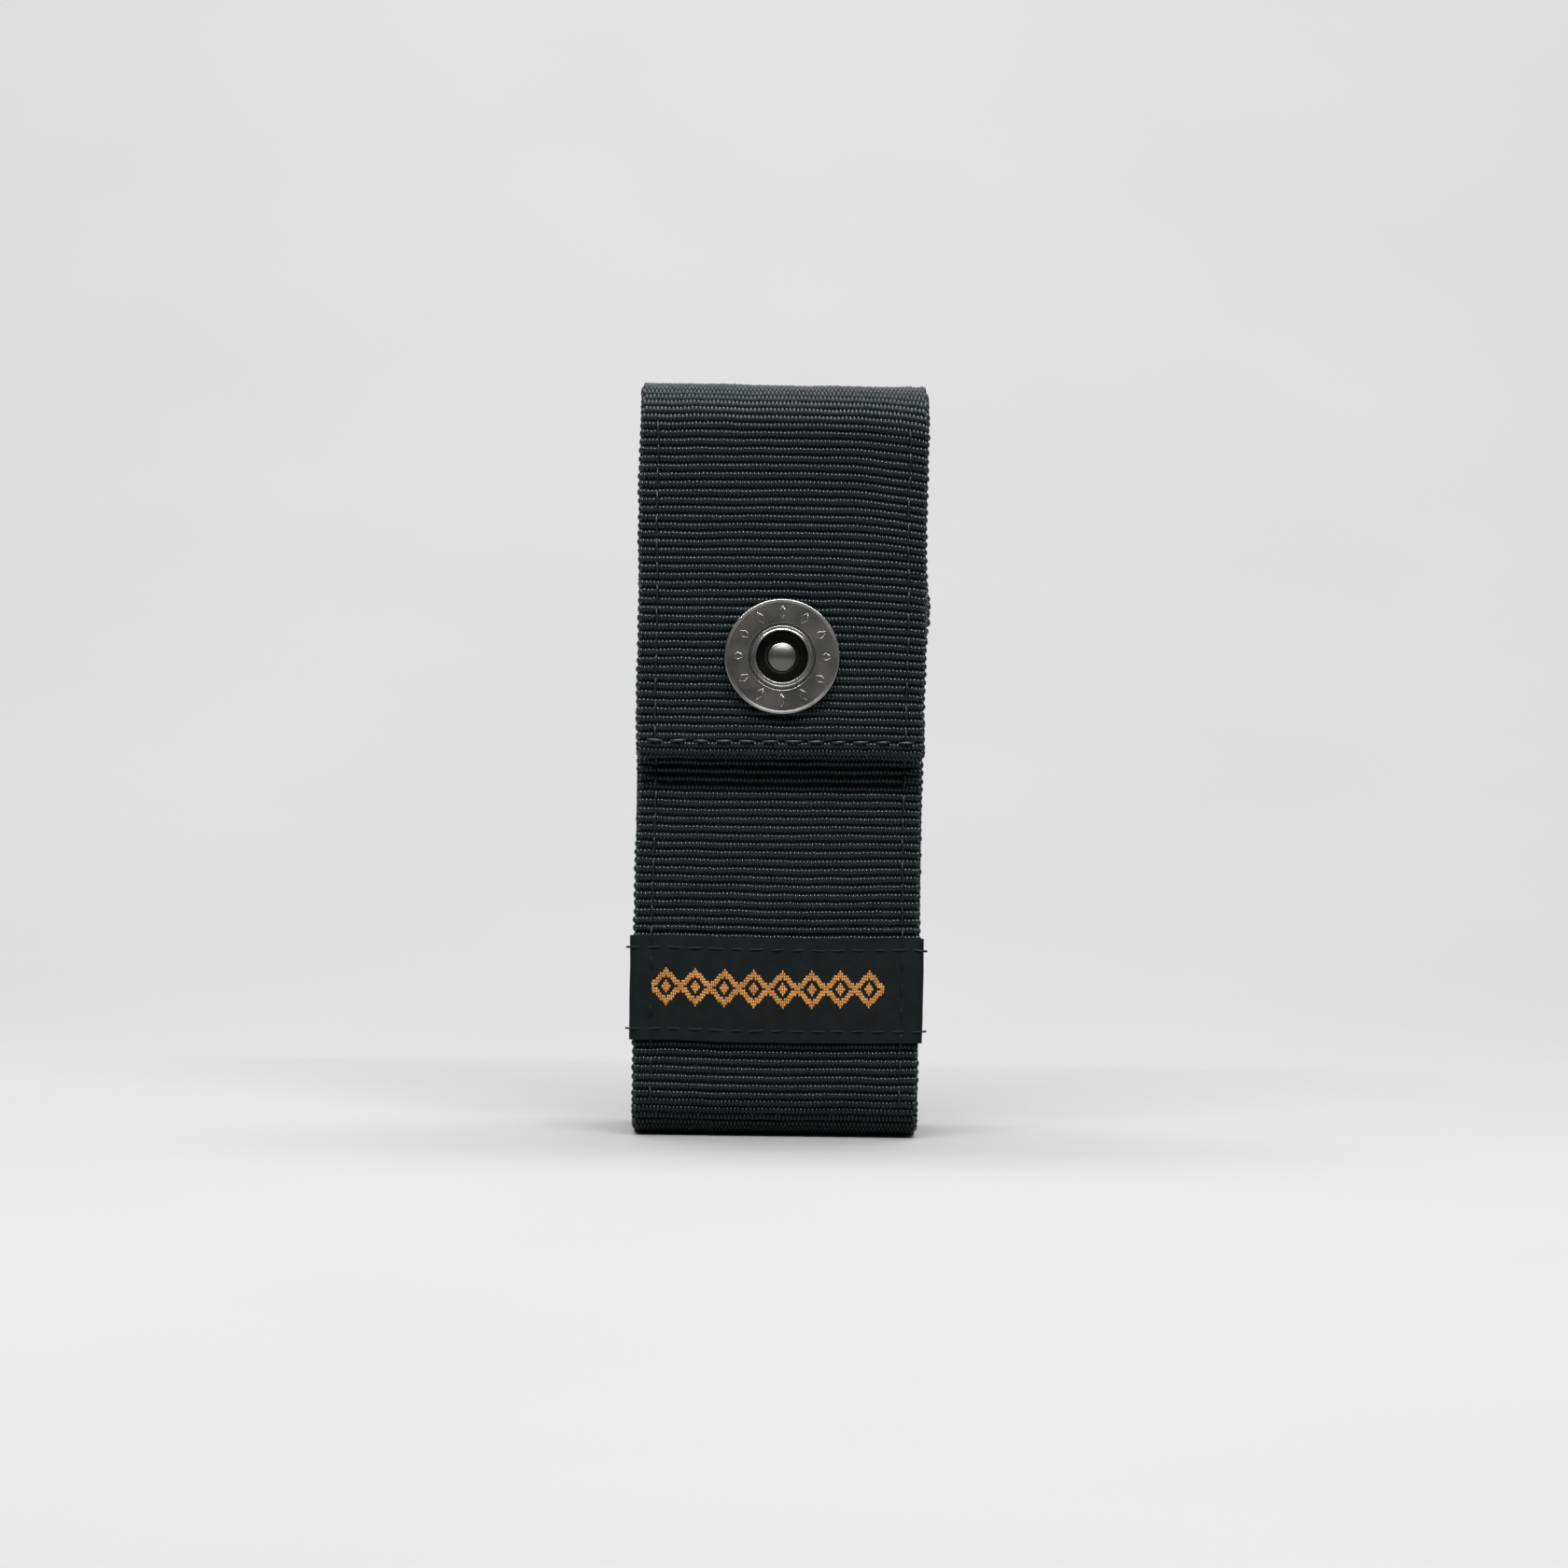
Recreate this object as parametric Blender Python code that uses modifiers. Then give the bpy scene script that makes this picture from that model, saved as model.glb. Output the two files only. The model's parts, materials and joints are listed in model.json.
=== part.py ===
"""A belt sheath for a folding multi tool: webbing pouch, elastic sides, snap-down flap, belt loop.

The pouch opens upwards (+Z), its front faces -Y and its width runs along X. The origin is under the
middle of the sheath, on the surface that it stands on. One wide webbing strap makes the front, the
bottom, the back and the flap. It is modelled in three solids that part at the flap's two folds.
"""

import math

import bmesh
import bpy
from mathutils import Matrix

# Driving dimensions, in metres.
STRAP_WIDTH = 0.0450
STRAP_THICK = 0.0016
LINING_THICK = 0.0007
ELASTIC_THICK = 0.0010
HEIGHT = 0.1180
POUCH_DEPTH = 0.0245
MOUTH_HEIGHT = 0.0885
FLAP_END_HEIGHT = 0.0590
FLAP_STANDOFF = 0.0043
HEM_LENGTH = 0.0080
BOTTOM_RADIUS = 0.0065
FRONT_FOLD_RADIUS = 0.0080
BACK_FOLD_RADIUS = 0.0065
LAYER_GAP = 0.0002
FIT_GAP = 0.0003
FOLD_GAP_DEG = 2.5
RECESS_RISE = 0.0050

SEAM_INSET = 0.0030
SEAM_CLIMB = 0.0008
THREAD_RADIUS = 0.00025
STITCH_FROM_END = 0.0035

LOOP_WIDTH = 0.0380
LOOP_THICK = 0.0014
LOOP_TOP = 0.1040
LOOP_BOTTOM = 0.0310
LOOP_SEWN = 0.0070
LOOP_RAMP = 0.0060
LOOP_MARGIN = 0.0015
LOOP_BULGE = 0.0055

LABEL_WIDTH = 0.0466
LABEL_BOTTOM = 0.0151
LABEL_TOP = 0.0315
LABEL_THICK = 0.0005
LABEL_MARGIN = 0.0018

SNAP_HEIGHT = 0.0752
RING_RADIUS = 0.0089
RING_HOLE_RADIUS = 0.0040
RING_PROUD = 0.0012
RING_DISH = 0.0008
RIM_WIDTH = 0.0005
LIP_RADIUS = 0.0048
LIP_HEIGHT = 0.0011
CHAMFER = 0.0002
TUBE_RADIUS = 0.0046
TUBE_DEPTH = 0.0026

SOCKET_RADIUS = 0.0075
SOCKET_BORE = 0.0028
SOCKET_BOSS = 0.00385
SOCKET_TOP = 0.0016
SOCKET_BACK = 0.0033
SOCKET_SHEET = 0.0005
SPRING_RADIUS = 0.0031
SPRING_WIRE = 0.0003
SPRING_DEPTH = 0.00245
SPRING_ROOM = 0.00045
SPRING_GAP = 0.0001
SPRING_SPLIT_DEG = 30

HEAD_RADIUS = 0.002375
HEAD_HEIGHT = 0.0023
HEAD_END_DEG = -40
NECK_RADIUS = 0.0016
STUD_BASE_RADIUS = 0.0036
STUD_BASE_TOP = 0.0006
POST_RADIUS = 0.0012
POST_DEPTH = 0.0027
STUD_HOLE_RADIUS = 0.0015
EYELET_RADIUS = 0.0044
EYELET_TOP = 0.0018
EYELET_BACK = 0.0026

# Places that follow from them. The snap ring and the belt loop reach equally far from Y = 0.
LOOP_OUT = LAYER_GAP + LOOP_BULGE + LOOP_THICK
REACH_Y = (POUCH_DEPTH + FLAP_STANDOFF + RING_PROUD + LOOP_OUT) / 2
FLAP_Y = -REACH_Y + RING_PROUD
FRONT_Y = FLAP_Y + FLAP_STANDOFF
BACK_Y = FRONT_Y + POUCH_DEPTH
SEAM_X = STRAP_WIDTH / 2 - SEAM_INSET
LINING_INSET = STRAP_THICK + LAYER_GAP
WEB_X = SEAM_X - ELASTIC_THICK
HEM_THICK = 2 * STRAP_THICK + LAYER_GAP
FLAP_STITCH = FLAP_END_HEIGHT + STITCH_FROM_END
MOUTH_STITCH = MOUTH_HEIGHT - STITCH_FROM_END
SEAM_LOW = BOTTOM_RADIUS

FLAP_TOP = ("flap_top_webbing", "flap_top_lining")
FLAP_FRONT = (
    "flap_front_webbing",
    "flap_front_lining",
    "snap_ring",
    "snap_socket",
    "snap_spring",
    "flap_edge_thread_left",
    "flap_edge_thread_right",
    "flap_hem_thread",
)

ARC_STEPS = 8
ROUND_STEPS = 40
HOLE_SIDES = 32
CUTTER_LENGTH = 0.0080
STAND_UP = (math.pi / 2, 0.0, math.pi / 2)


def clear_scene():
    for obj in list(bpy.data.objects):
        bpy.data.objects.remove(obj, do_unlink=True)


def new_collection(name):
    collection = bpy.data.collections.new(name)
    bpy.context.scene.collection.children.link(collection)
    return collection


def material(name, colour, roughness, metallic=0.0):
    made = bpy.data.materials.new(name)
    made.use_nodes = True
    shader = made.node_tree.nodes["Principled BSDF"]
    shader.inputs["Base Color"].default_value = (*colour, 1.0)
    shader.inputs["Roughness"].default_value = roughness
    shader.inputs["Metallic"].default_value = metallic
    return made


def place(obj, finish, collection):
    obj.data.materials.append(finish)
    collection.objects.link(obj)
    return obj


# Outlines. A point is (y, z); an inset is a distance in from the strap's outer face.


def arc(centre, radius, start_deg, end_deg, steps=ARC_STEPS):
    """Points along an arc, both ends included, anticlockwise from +Y towards +Z."""
    points = []
    for step in range(steps + 1):
        angle = math.radians(start_deg + (end_deg - start_deg) * step / steps)
        points.append((centre[0] + radius * math.cos(angle), centre[1] + radius * math.sin(angle)))
    return points


BACK_FOLD = (BACK_Y - BACK_FOLD_RADIUS, HEIGHT - BACK_FOLD_RADIUS)
FRONT_FOLD = (FLAP_Y + FRONT_FOLD_RADIUS, HEIGHT - FRONT_FOLD_RADIUS)


def pouch_line(inset, top=MOUTH_HEIGHT):
    """The pouch's front from its top, round the bottom and up the back to where the back fold starts."""
    radius = BOTTOM_RADIUS - inset
    front_corner = (FRONT_Y + BOTTOM_RADIUS, BOTTOM_RADIUS)
    back_corner = (BACK_Y - BOTTOM_RADIUS, BOTTOM_RADIUS)
    line = [(FRONT_Y + inset, top)]
    line += arc(front_corner, radius, 180, 270)
    line += arc(back_corner, radius, 270, 360)
    return line


def back_fold_line(inset, start_deg, end_deg):
    return arc(BACK_FOLD, BACK_FOLD_RADIUS - inset, start_deg, end_deg, ARC_STEPS // 2)


def front_fold_line(inset, start_deg, end_deg):
    return arc(FRONT_FOLD, FRONT_FOLD_RADIUS - inset, start_deg, end_deg, ARC_STEPS // 2)


def band(line, outer_inset, inner_inset):
    """The closed outline of a layer that follows a line between two insets."""
    return line(outer_inset) + line(inner_inset)[::-1]


def hem_turn(y_outer, z_end, rising):
    """The half circles of a folded-over end: (outer points, inner points) from the outer layer inwards."""
    centre = (y_outer + HEM_THICK / 2, z_end + (-1 if rising else 1) * HEM_THICK / 2)
    start, end = (180, 0) if rising else (180, 360)
    return (
        arc(centre, HEM_THICK / 2, start, end),
        arc(centre, LAYER_GAP / 2, start, end, 2),
    )


def pouch_outline():
    outer_turn, inner_turn = hem_turn(FRONT_Y, MOUTH_HEIGHT, rising=True)
    hem_inner = FRONT_Y + HEM_THICK
    hem_end = MOUTH_HEIGHT - HEM_LENGTH
    bare_top = MOUTH_HEIGHT - HEM_THICK / 2

    def line(inset):
        return pouch_line(inset, bare_top)[1:] + back_fold_line(inset, 0, 45 - FOLD_GAP_DEG)

    outline = [(hem_inner - STRAP_THICK, hem_end), (hem_inner, hem_end)]
    outline += outer_turn[::-1]
    outline += line(0.0)
    outline += line(STRAP_THICK)[::-1]
    outline += inner_turn
    return outline


def flap_top_line(inset):
    return back_fold_line(inset, 45 + FOLD_GAP_DEG, 90) + front_fold_line(inset, 90, 135 - FOLD_GAP_DEG)


def flap_front_outline():
    outer_turn, inner_turn = hem_turn(FLAP_Y, FLAP_END_HEIGHT, rising=False)
    hem_inner = FLAP_Y + HEM_THICK
    hem_end = FLAP_END_HEIGHT + HEM_LENGTH
    outline = front_fold_line(0.0, 135 + FOLD_GAP_DEG, 180)
    outline += outer_turn
    outline += [(hem_inner, hem_end), (hem_inner - STRAP_THICK, hem_end)]
    outline += inner_turn[::-1]
    outline += front_fold_line(STRAP_THICK, 135 + FOLD_GAP_DEG, 180)[::-1]
    return outline


def gusset_outline(extra, top):
    """The room inside the strap, extra further in, stepping round the hem at the mouth."""
    inset = LINING_INSET + extra
    step_y = FRONT_Y + HEM_THICK + LAYER_GAP + extra
    step_z = MOUTH_HEIGHT - HEM_LENGTH - FIT_GAP - extra
    line = pouch_line(inset)[1:]
    return [(step_y, top), (step_y, step_z), (FRONT_Y + inset, step_z)] + line + [(BACK_Y - inset, top)]


# Makers.


def extruded(name, outline, width, x_middle=0.0):
    """A plate of this (y, z) outline, width wide along X."""
    curve = bpy.data.curves.new(name, "CURVE")
    curve.dimensions = "2D"
    curve.fill_mode = "BOTH"
    curve.extrude = width / 2
    spline = curve.splines.new("POLY")
    spline.points.add(len(outline) - 1)
    for point, (y, z) in zip(spline.points, outline):
        point.co = (y, z, 0.0, 1.0)
    spline.use_cyclic_u = True
    obj = bpy.data.objects.new(name, curve)
    obj.location = (x_middle, 0.0, 0.0)
    obj.rotation_euler = STAND_UP
    return obj


def as_mesh(obj):
    """The object again as a mesh with its caps welded, at the same place."""
    bpy.context.scene.collection.objects.link(obj)
    bpy.context.view_layer.update()
    evaluated = obj.evaluated_get(bpy.context.evaluated_depsgraph_get())
    mesh = bpy.data.meshes.new_from_object(evaluated)
    work = bmesh.new()
    work.from_mesh(mesh)
    bmesh.ops.remove_doubles(work, verts=work.verts, dist=1e-6)
    bmesh.ops.recalc_face_normals(work, faces=work.faces)
    work.to_mesh(mesh)
    work.free()
    name = obj.name
    matrix = obj.matrix_world.copy()
    bpy.data.objects.remove(obj, do_unlink=True)
    made = bpy.data.objects.new(name, mesh)
    made.matrix_world = matrix
    return made


def cut(obj, cutter, cutters):
    cutter.hide_render = True
    cutter.display_type = "WIRE"
    cutters.objects.link(cutter)
    boolean = obj.modifiers.new("cut_" + cutter.name, "BOOLEAN")
    boolean.operation = "DIFFERENCE"
    boolean.object = cutter
    return obj


def hole_cutter(name, radius, y):
    """A cylinder along Y, at the snap's height, that goes right through the layers at y."""
    mesh = bpy.data.meshes.new(name)
    work = bmesh.new()
    bmesh.ops.create_cone(
        work, cap_ends=True, segments=HOLE_SIDES, radius1=radius, radius2=radius, depth=CUTTER_LENGTH
    )
    work.to_mesh(mesh)
    work.free()
    cutter = bpy.data.objects.new(name, mesh)
    cutter.location = (0.0, y, SNAP_HEIGHT)
    cutter.rotation_euler = (math.pi / 2, 0.0, 0.0)
    return cutter


def turned(name, profile, y, z, closed, turn_deg=360.0):
    """A profile of (radius, height) points turned about -Y, with its height 0 at (y, z)."""
    mesh = bpy.data.meshes.new(name)
    work = bmesh.new()
    verts = [work.verts.new((radius, 0.0, height)) for radius, height in profile]
    for first, second in zip(verts, verts[1:]):
        work.edges.new((first, second))
    if closed:
        work.edges.new((verts[-1], verts[0]))
    work.to_mesh(mesh)
    work.free()
    obj = bpy.data.objects.new(name, mesh)
    obj.location = (0.0, y, z)
    obj.rotation_euler = (math.pi / 2, 0.0, 0.0)
    screw = obj.modifiers.new("turn", "SCREW")
    screw.axis = "Z"
    screw.angle = math.radians(turn_deg)
    screw.steps = ROUND_STEPS
    screw.render_steps = ROUND_STEPS
    screw.use_merge_vertices = True
    screw.merge_threshold = 1e-6
    return obj


def wire(name, points, radius, cyclic=False):
    """A round thread or wire through (x, y, z) points."""
    curve = bpy.data.curves.new(name, "CURVE")
    curve.dimensions = "3D"
    curve.bevel_depth = radius
    curve.bevel_resolution = 2
    curve.use_fill_caps = not cyclic
    spline = curve.splines.new("POLY")
    spline.points.add(len(points) - 1)
    for point, co in zip(spline.points, points):
        point.co = (*co, 1.0)
    spline.use_cyclic_u = cyclic
    return bpy.data.objects.new(name, curve)


# The sheath's pieces.


def make_pouch_webbing(finish, parts, cutters):
    webbing = as_mesh(extruded("pouch_webbing", pouch_outline(), STRAP_WIDTH))
    place(cut(webbing, hole_cutter("stud_hole", STUD_HOLE_RADIUS, FRONT_Y), cutters), finish, parts)


def make_flap_webbing(finish, parts, cutters):
    top = band(flap_top_line, 0.0, STRAP_THICK)
    place(extruded("flap_top_webbing", top, STRAP_WIDTH), finish, parts)
    front = as_mesh(extruded("flap_front_webbing", flap_front_outline(), STRAP_WIDTH))
    place(cut(front, hole_cutter("ring_hole", TUBE_RADIUS + FIT_GAP, FLAP_Y), cutters), finish, parts)


def back_lining_line(inset):
    return [(BACK_Y - inset, MOUTH_HEIGHT + FIT_GAP)] + back_fold_line(inset, 0, 45 - FOLD_GAP_DEG)


def flap_front_lining_line(inset):
    hem_end = FLAP_END_HEIGHT + HEM_LENGTH + FIT_GAP
    return front_fold_line(inset, 135 + FOLD_GAP_DEG, 180) + [(FLAP_Y + inset, hem_end)]


def make_linings(finish, parts, cutters):
    outer, inner = LINING_INSET, LINING_INSET + LINING_THICK
    back = band(back_lining_line, outer, inner)
    place(extruded("back_lining", back, STRAP_WIDTH), finish, parts)
    top = band(flap_top_line, outer, inner)
    place(extruded("flap_top_lining", top, STRAP_WIDTH), finish, parts)
    front = as_mesh(extruded("flap_front_lining", band(flap_front_lining_line, outer, inner), STRAP_WIDTH))
    place(cut(front, hole_cutter("lining_hole", TUBE_RADIUS + FIT_GAP, FLAP_Y), cutters), finish, parts)


def make_gussets(elastic, parts, cutters):
    """Each side is an elastic tray that opens outwards, its rim held under the strap's edges."""
    rim_x = STRAP_WIDTH / 2 - LAYER_GAP
    depth = rim_x - WEB_X
    for side, name in ((-1, "left"), (1, "right")):
        middle = side * (rim_x + WEB_X) / 2
        tray = as_mesh(extruded("gusset_" + name, gusset_outline(0.0, MOUTH_HEIGHT), depth, middle))
        recess = gusset_outline(ELASTIC_THICK, MOUTH_HEIGHT + RECESS_RISE)
        cutter = as_mesh(extruded("recess_" + name, recess, depth, middle + side * ELASTIC_THICK))
        place(cut(tray, cutter, cutters), elastic, parts)


def loop_line(inset):
    """The belt loop from its sewn top end down to its sewn bottom end."""
    face = BACK_Y + LAYER_GAP + LOOP_THICK - inset
    out = face + LOOP_BULGE
    line = [(face, LOOP_TOP)]
    for z_face, z_out in (
        (LOOP_TOP - LOOP_SEWN, LOOP_TOP - LOOP_SEWN - LOOP_RAMP),
        (LOOP_BOTTOM + LOOP_SEWN, LOOP_BOTTOM + LOOP_SEWN + LOOP_RAMP),
    ):
        ramp = []
        for step in range(ARC_STEPS + 1):
            share = step / ARC_STEPS
            ease = share * share * (3 - 2 * share)
            ramp.append((face + (out - face) * ease, z_face + (z_out - z_face) * share))
        line += ramp if z_out < z_face else ramp[::-1]
    return line + [(face, LOOP_BOTTOM)]


def make_belt_loop(webbing, parts):
    outline = band(loop_line, 0.0, LOOP_THICK)
    place(extruded("belt_loop", outline, LOOP_WIDTH), webbing, parts)


def make_label(finish, parts):
    """A ribbon across the front whose ends turn back round the strap's edges."""
    outer_x, inner_x = LABEL_WIDTH / 2, LABEL_WIDTH / 2 - LABEL_THICK
    front, inside = FRONT_Y - LAYER_GAP - LABEL_THICK, FRONT_Y - LAYER_GAP
    ends = FRONT_Y + STRAP_THICK
    outline = [(outer_x, ends), (outer_x, front), (-outer_x, front), (-outer_x, ends)]
    outline += [(-inner_x, ends), (-inner_x, inside), (inner_x, inside), (inner_x, ends)]
    label = extruded("woven_label", outline, LABEL_TOP - LABEL_BOTTOM)
    label.rotation_euler = (0.0, 0.0, 0.0)
    label.location = (0.0, 0.0, (LABEL_TOP + LABEL_BOTTOM) / 2)
    place(label, finish, parts)


def make_snap(ring_metal, socket_metal, spring_metal, parts):
    """The flap's open ring, its socket and split spring, and the pouch's stud with its eyelet."""
    ring = [
        (RING_HOLE_RADIUS, -TUBE_DEPTH),
        (RING_HOLE_RADIUS, LIP_HEIGHT - CHAMFER),
        (RING_HOLE_RADIUS + CHAMFER, LIP_HEIGHT),
        (LIP_RADIUS - CHAMFER, LIP_HEIGHT),
        (LIP_RADIUS, LIP_HEIGHT - CHAMFER),
        (LIP_RADIUS + CHAMFER, RING_DISH - CHAMFER),
        (LIP_RADIUS + RIM_WIDTH, RING_DISH),
        (RING_RADIUS - CHAMFER - RIM_WIDTH, RING_DISH),
        (RING_RADIUS - RIM_WIDTH, RING_PROUD),
        (RING_RADIUS - CHAMFER, RING_PROUD),
        (RING_RADIUS, RING_PROUD - CHAMFER),
        (RING_RADIUS, LAYER_GAP),
        (TUBE_RADIUS, LAYER_GAP),
        (TUBE_RADIUS, -TUBE_DEPTH),
    ]
    place(turned("snap_ring", ring, FLAP_Y, SNAP_HEIGHT, closed=True), ring_metal, parts)

    groove = SPRING_RADIUS + SPRING_WIRE + SPRING_GAP
    socket = [
        (SOCKET_BORE, -SOCKET_BACK),
        (SOCKET_BORE, -SPRING_DEPTH - SPRING_ROOM),
        (groove, -SPRING_DEPTH - SPRING_ROOM),
        (groove, -SPRING_DEPTH + SPRING_ROOM),
        (SOCKET_BORE, -SPRING_DEPTH + SPRING_ROOM),
        (SOCKET_BORE, -SOCKET_TOP),
        (SOCKET_BOSS, -SOCKET_TOP),
        (SOCKET_BOSS, -SOCKET_BACK + SOCKET_SHEET),
        (SOCKET_RADIUS, -SOCKET_BACK + SOCKET_SHEET),
        (SOCKET_RADIUS, -SOCKET_BACK),
    ]
    place(turned("snap_socket", socket, FLAP_Y, SNAP_HEIGHT, closed=True), socket_metal, parts)

    split = SPRING_SPLIT_DEG / 2
    turn = arc((0.0, SNAP_HEIGHT), SPRING_RADIUS, split, 360 - split, ROUND_STEPS)
    points = [(x, FLAP_Y + SPRING_DEPTH, z) for x, z in turn]
    place(wire("snap_spring", points, SPRING_WIRE), spring_metal, parts)

    stud = arc((0.0, HEAD_HEIGHT), HEAD_RADIUS, 90, HEAD_END_DEG, ARC_STEPS)
    stud += [
        (NECK_RADIUS, STUD_BASE_TOP),
        (STUD_BASE_RADIUS - CHAMFER, STUD_BASE_TOP),
        (STUD_BASE_RADIUS, LAYER_GAP),
        (POST_RADIUS, LAYER_GAP),
        (POST_RADIUS, -POST_DEPTH),
        (0.0, -POST_DEPTH),
    ]
    place(turned("snap_stud", stud, FRONT_Y, SNAP_HEIGHT, closed=False), ring_metal, parts)

    eyelet = [
        (POST_RADIUS + CHAMFER, -EYELET_BACK),
        (POST_RADIUS + CHAMFER, -EYELET_TOP),
        (EYELET_RADIUS, -EYELET_TOP),
        (EYELET_RADIUS, -EYELET_BACK + CHAMFER),
        (EYELET_RADIUS - CHAMFER, -EYELET_BACK),
    ]
    place(turned("stud_eyelet", eyelet, FRONT_Y, SNAP_HEIGHT, closed=True), socket_metal, parts)


def upright_thread(name, x, y, z_low, z_high, thread, parts):
    points = [(x, y, z_low), (x, y, (z_low + z_high) / 2), (x, y, z_high)]
    place(wire(name, points, THREAD_RADIUS), thread, parts)


def level_thread(name, half_width, y, z, thread, parts):
    points = [(-half_width, y, z), (0.0, y, z), (half_width, y, z)]
    place(wire(name, points, THREAD_RADIUS), thread, parts)


def make_edge_threads(thread, parts):
    """The seams along the strap's two edges. The front ones climb over the label and its threads."""
    rest = LAYER_GAP + THREAD_RADIUS
    over_label = FRONT_Y - 2 * rest - LABEL_THICK - THREAD_RADIUS - LAYER_GAP - THREAD_RADIUS
    for side, name in ((-1, "left"), (1, "right")):
        x = side * SEAM_X
        seam = [
            (x, FRONT_Y - rest, SEAM_LOW),
            (x, FRONT_Y - rest, LABEL_BOTTOM - 2 * SEAM_CLIMB),
            (x, over_label, LABEL_BOTTOM - SEAM_CLIMB),
            (x, over_label, LABEL_TOP + SEAM_CLIMB),
            (x, FRONT_Y - rest, LABEL_TOP + 2 * SEAM_CLIMB),
            (x, FRONT_Y - rest, MOUTH_STITCH - THREAD_RADIUS - FIT_GAP),
        ]
        place(wire("front_seam_thread_" + name, seam, THREAD_RADIUS), thread, parts)
        upright_thread("back_seam_thread_" + name, x, BACK_Y + rest, SEAM_LOW, MOUTH_HEIGHT, thread, parts)
        flap_low = FLAP_STITCH + THREAD_RADIUS + FIT_GAP
        flap_high = HEIGHT - FRONT_FOLD_RADIUS
        upright_thread("flap_edge_thread_" + name, x, FLAP_Y - rest, flap_low, flap_high, thread, parts)


def make_cross_threads(thread, parts):
    """The seams across the strap: the two hems, the label's edges and the belt loop's boxes."""
    rest = LAYER_GAP + THREAD_RADIUS
    level_thread("flap_hem_thread", SEAM_X, FLAP_Y - rest, FLAP_STITCH, thread, parts)
    level_thread("mouth_hem_thread", SEAM_X, FRONT_Y - rest, MOUTH_STITCH, thread, parts)
    label_y = FRONT_Y - LAYER_GAP - LABEL_THICK - rest
    half_label = LABEL_WIDTH / 2 - LABEL_THICK
    level_thread("label_thread_top", half_label, label_y, LABEL_TOP - LABEL_MARGIN, thread, parts)
    level_thread("label_thread_bottom", half_label, label_y, LABEL_BOTTOM + LABEL_MARGIN, thread, parts)

    loop_y = BACK_Y + LAYER_GAP + LOOP_THICK + rest
    half = LOOP_WIDTH / 2 - LOOP_MARGIN
    for name, end in (("top", LOOP_TOP - LOOP_SEWN), ("bottom", LOOP_BOTTOM)):
        low, high = end + LOOP_MARGIN, end + LOOP_SEWN - LOOP_MARGIN
        box = [(-half, loop_y, low), (half, loop_y, low), (half, loop_y, high), (-half, loop_y, high)]
        place(wire("loop_thread_" + name, box, THREAD_RADIUS, cyclic=True), thread, parts)


def hang_on_fold(name, centre, radius, middle_deg, node_names, parts, parent=None):
    """An empty on a fold's outer surface, half way round it, that carries what turns about the fold."""
    pivot = arc(centre, radius, middle_deg, middle_deg, 1)[0]
    empty = bpy.data.objects.new(name, None)
    empty.location = (0.0, *pivot)
    empty.parent = parent
    if parent:
        empty.matrix_parent_inverse = Matrix.Translation(parent.location).inverted()
    parts.objects.link(empty)
    for node_name in node_names:
        node = parts.objects[node_name]
        node.parent = empty
        node.matrix_parent_inverse = Matrix.Translation(empty.location).inverted()
    return empty


def main():
    clear_scene()
    parts = new_collection("multi_tool_sheath")
    cutters = new_collection("cutters")
    webbing = material("black_webbing", (0.012, 0.017, 0.017), 0.75)
    lining = material("black_lining", (0.008, 0.010, 0.010), 0.85)
    elastic = material("black_elastic", (0.010, 0.013, 0.013), 0.80)
    ribbon = material("label_ribbon", (0.013, 0.017, 0.017), 0.55)
    thread = material("black_thread", (0.020, 0.024, 0.024), 0.60)
    gunmetal = material("antique_nickel", (0.16, 0.15, 0.15), 0.34, 1.0)
    blackened = material("blackened_brass", (0.02, 0.02, 0.02), 0.45, 1.0)
    steel = material("spring_steel", (0.35, 0.35, 0.36), 0.30, 1.0)

    make_pouch_webbing(webbing, parts, cutters)
    make_flap_webbing(webbing, parts, cutters)
    make_linings(lining, parts, cutters)
    make_gussets(elastic, parts, cutters)
    make_belt_loop(webbing, parts)
    make_label(ribbon, parts)
    make_snap(gunmetal, blackened, steel, parts)
    make_edge_threads(thread, parts)
    make_cross_threads(thread, parts)

    back_fold = hang_on_fold("back_fold", BACK_FOLD, BACK_FOLD_RADIUS, 45, FLAP_TOP, parts)
    hang_on_fold("front_fold", FRONT_FOLD, FRONT_FOLD_RADIUS, 135, FLAP_FRONT, parts, back_fold)


main()
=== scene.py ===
# %% [markdown]
# # A belt sheath for a folding tool
#
# One wide nylon strap makes the front, the bottom, the back and the flap of this sheath. Elastic closes
# its sides, a snap closes its flap, and a loop behind takes a belt. The frame holds the solids that fix
# the size and the folds. This lesson covers them with woven webbing, stitches and plated metal.

# %% Load the frame
import json
import math

import bmesh
import bpy
import numpy as np
from mathutils import Matrix, Vector, noise

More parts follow.
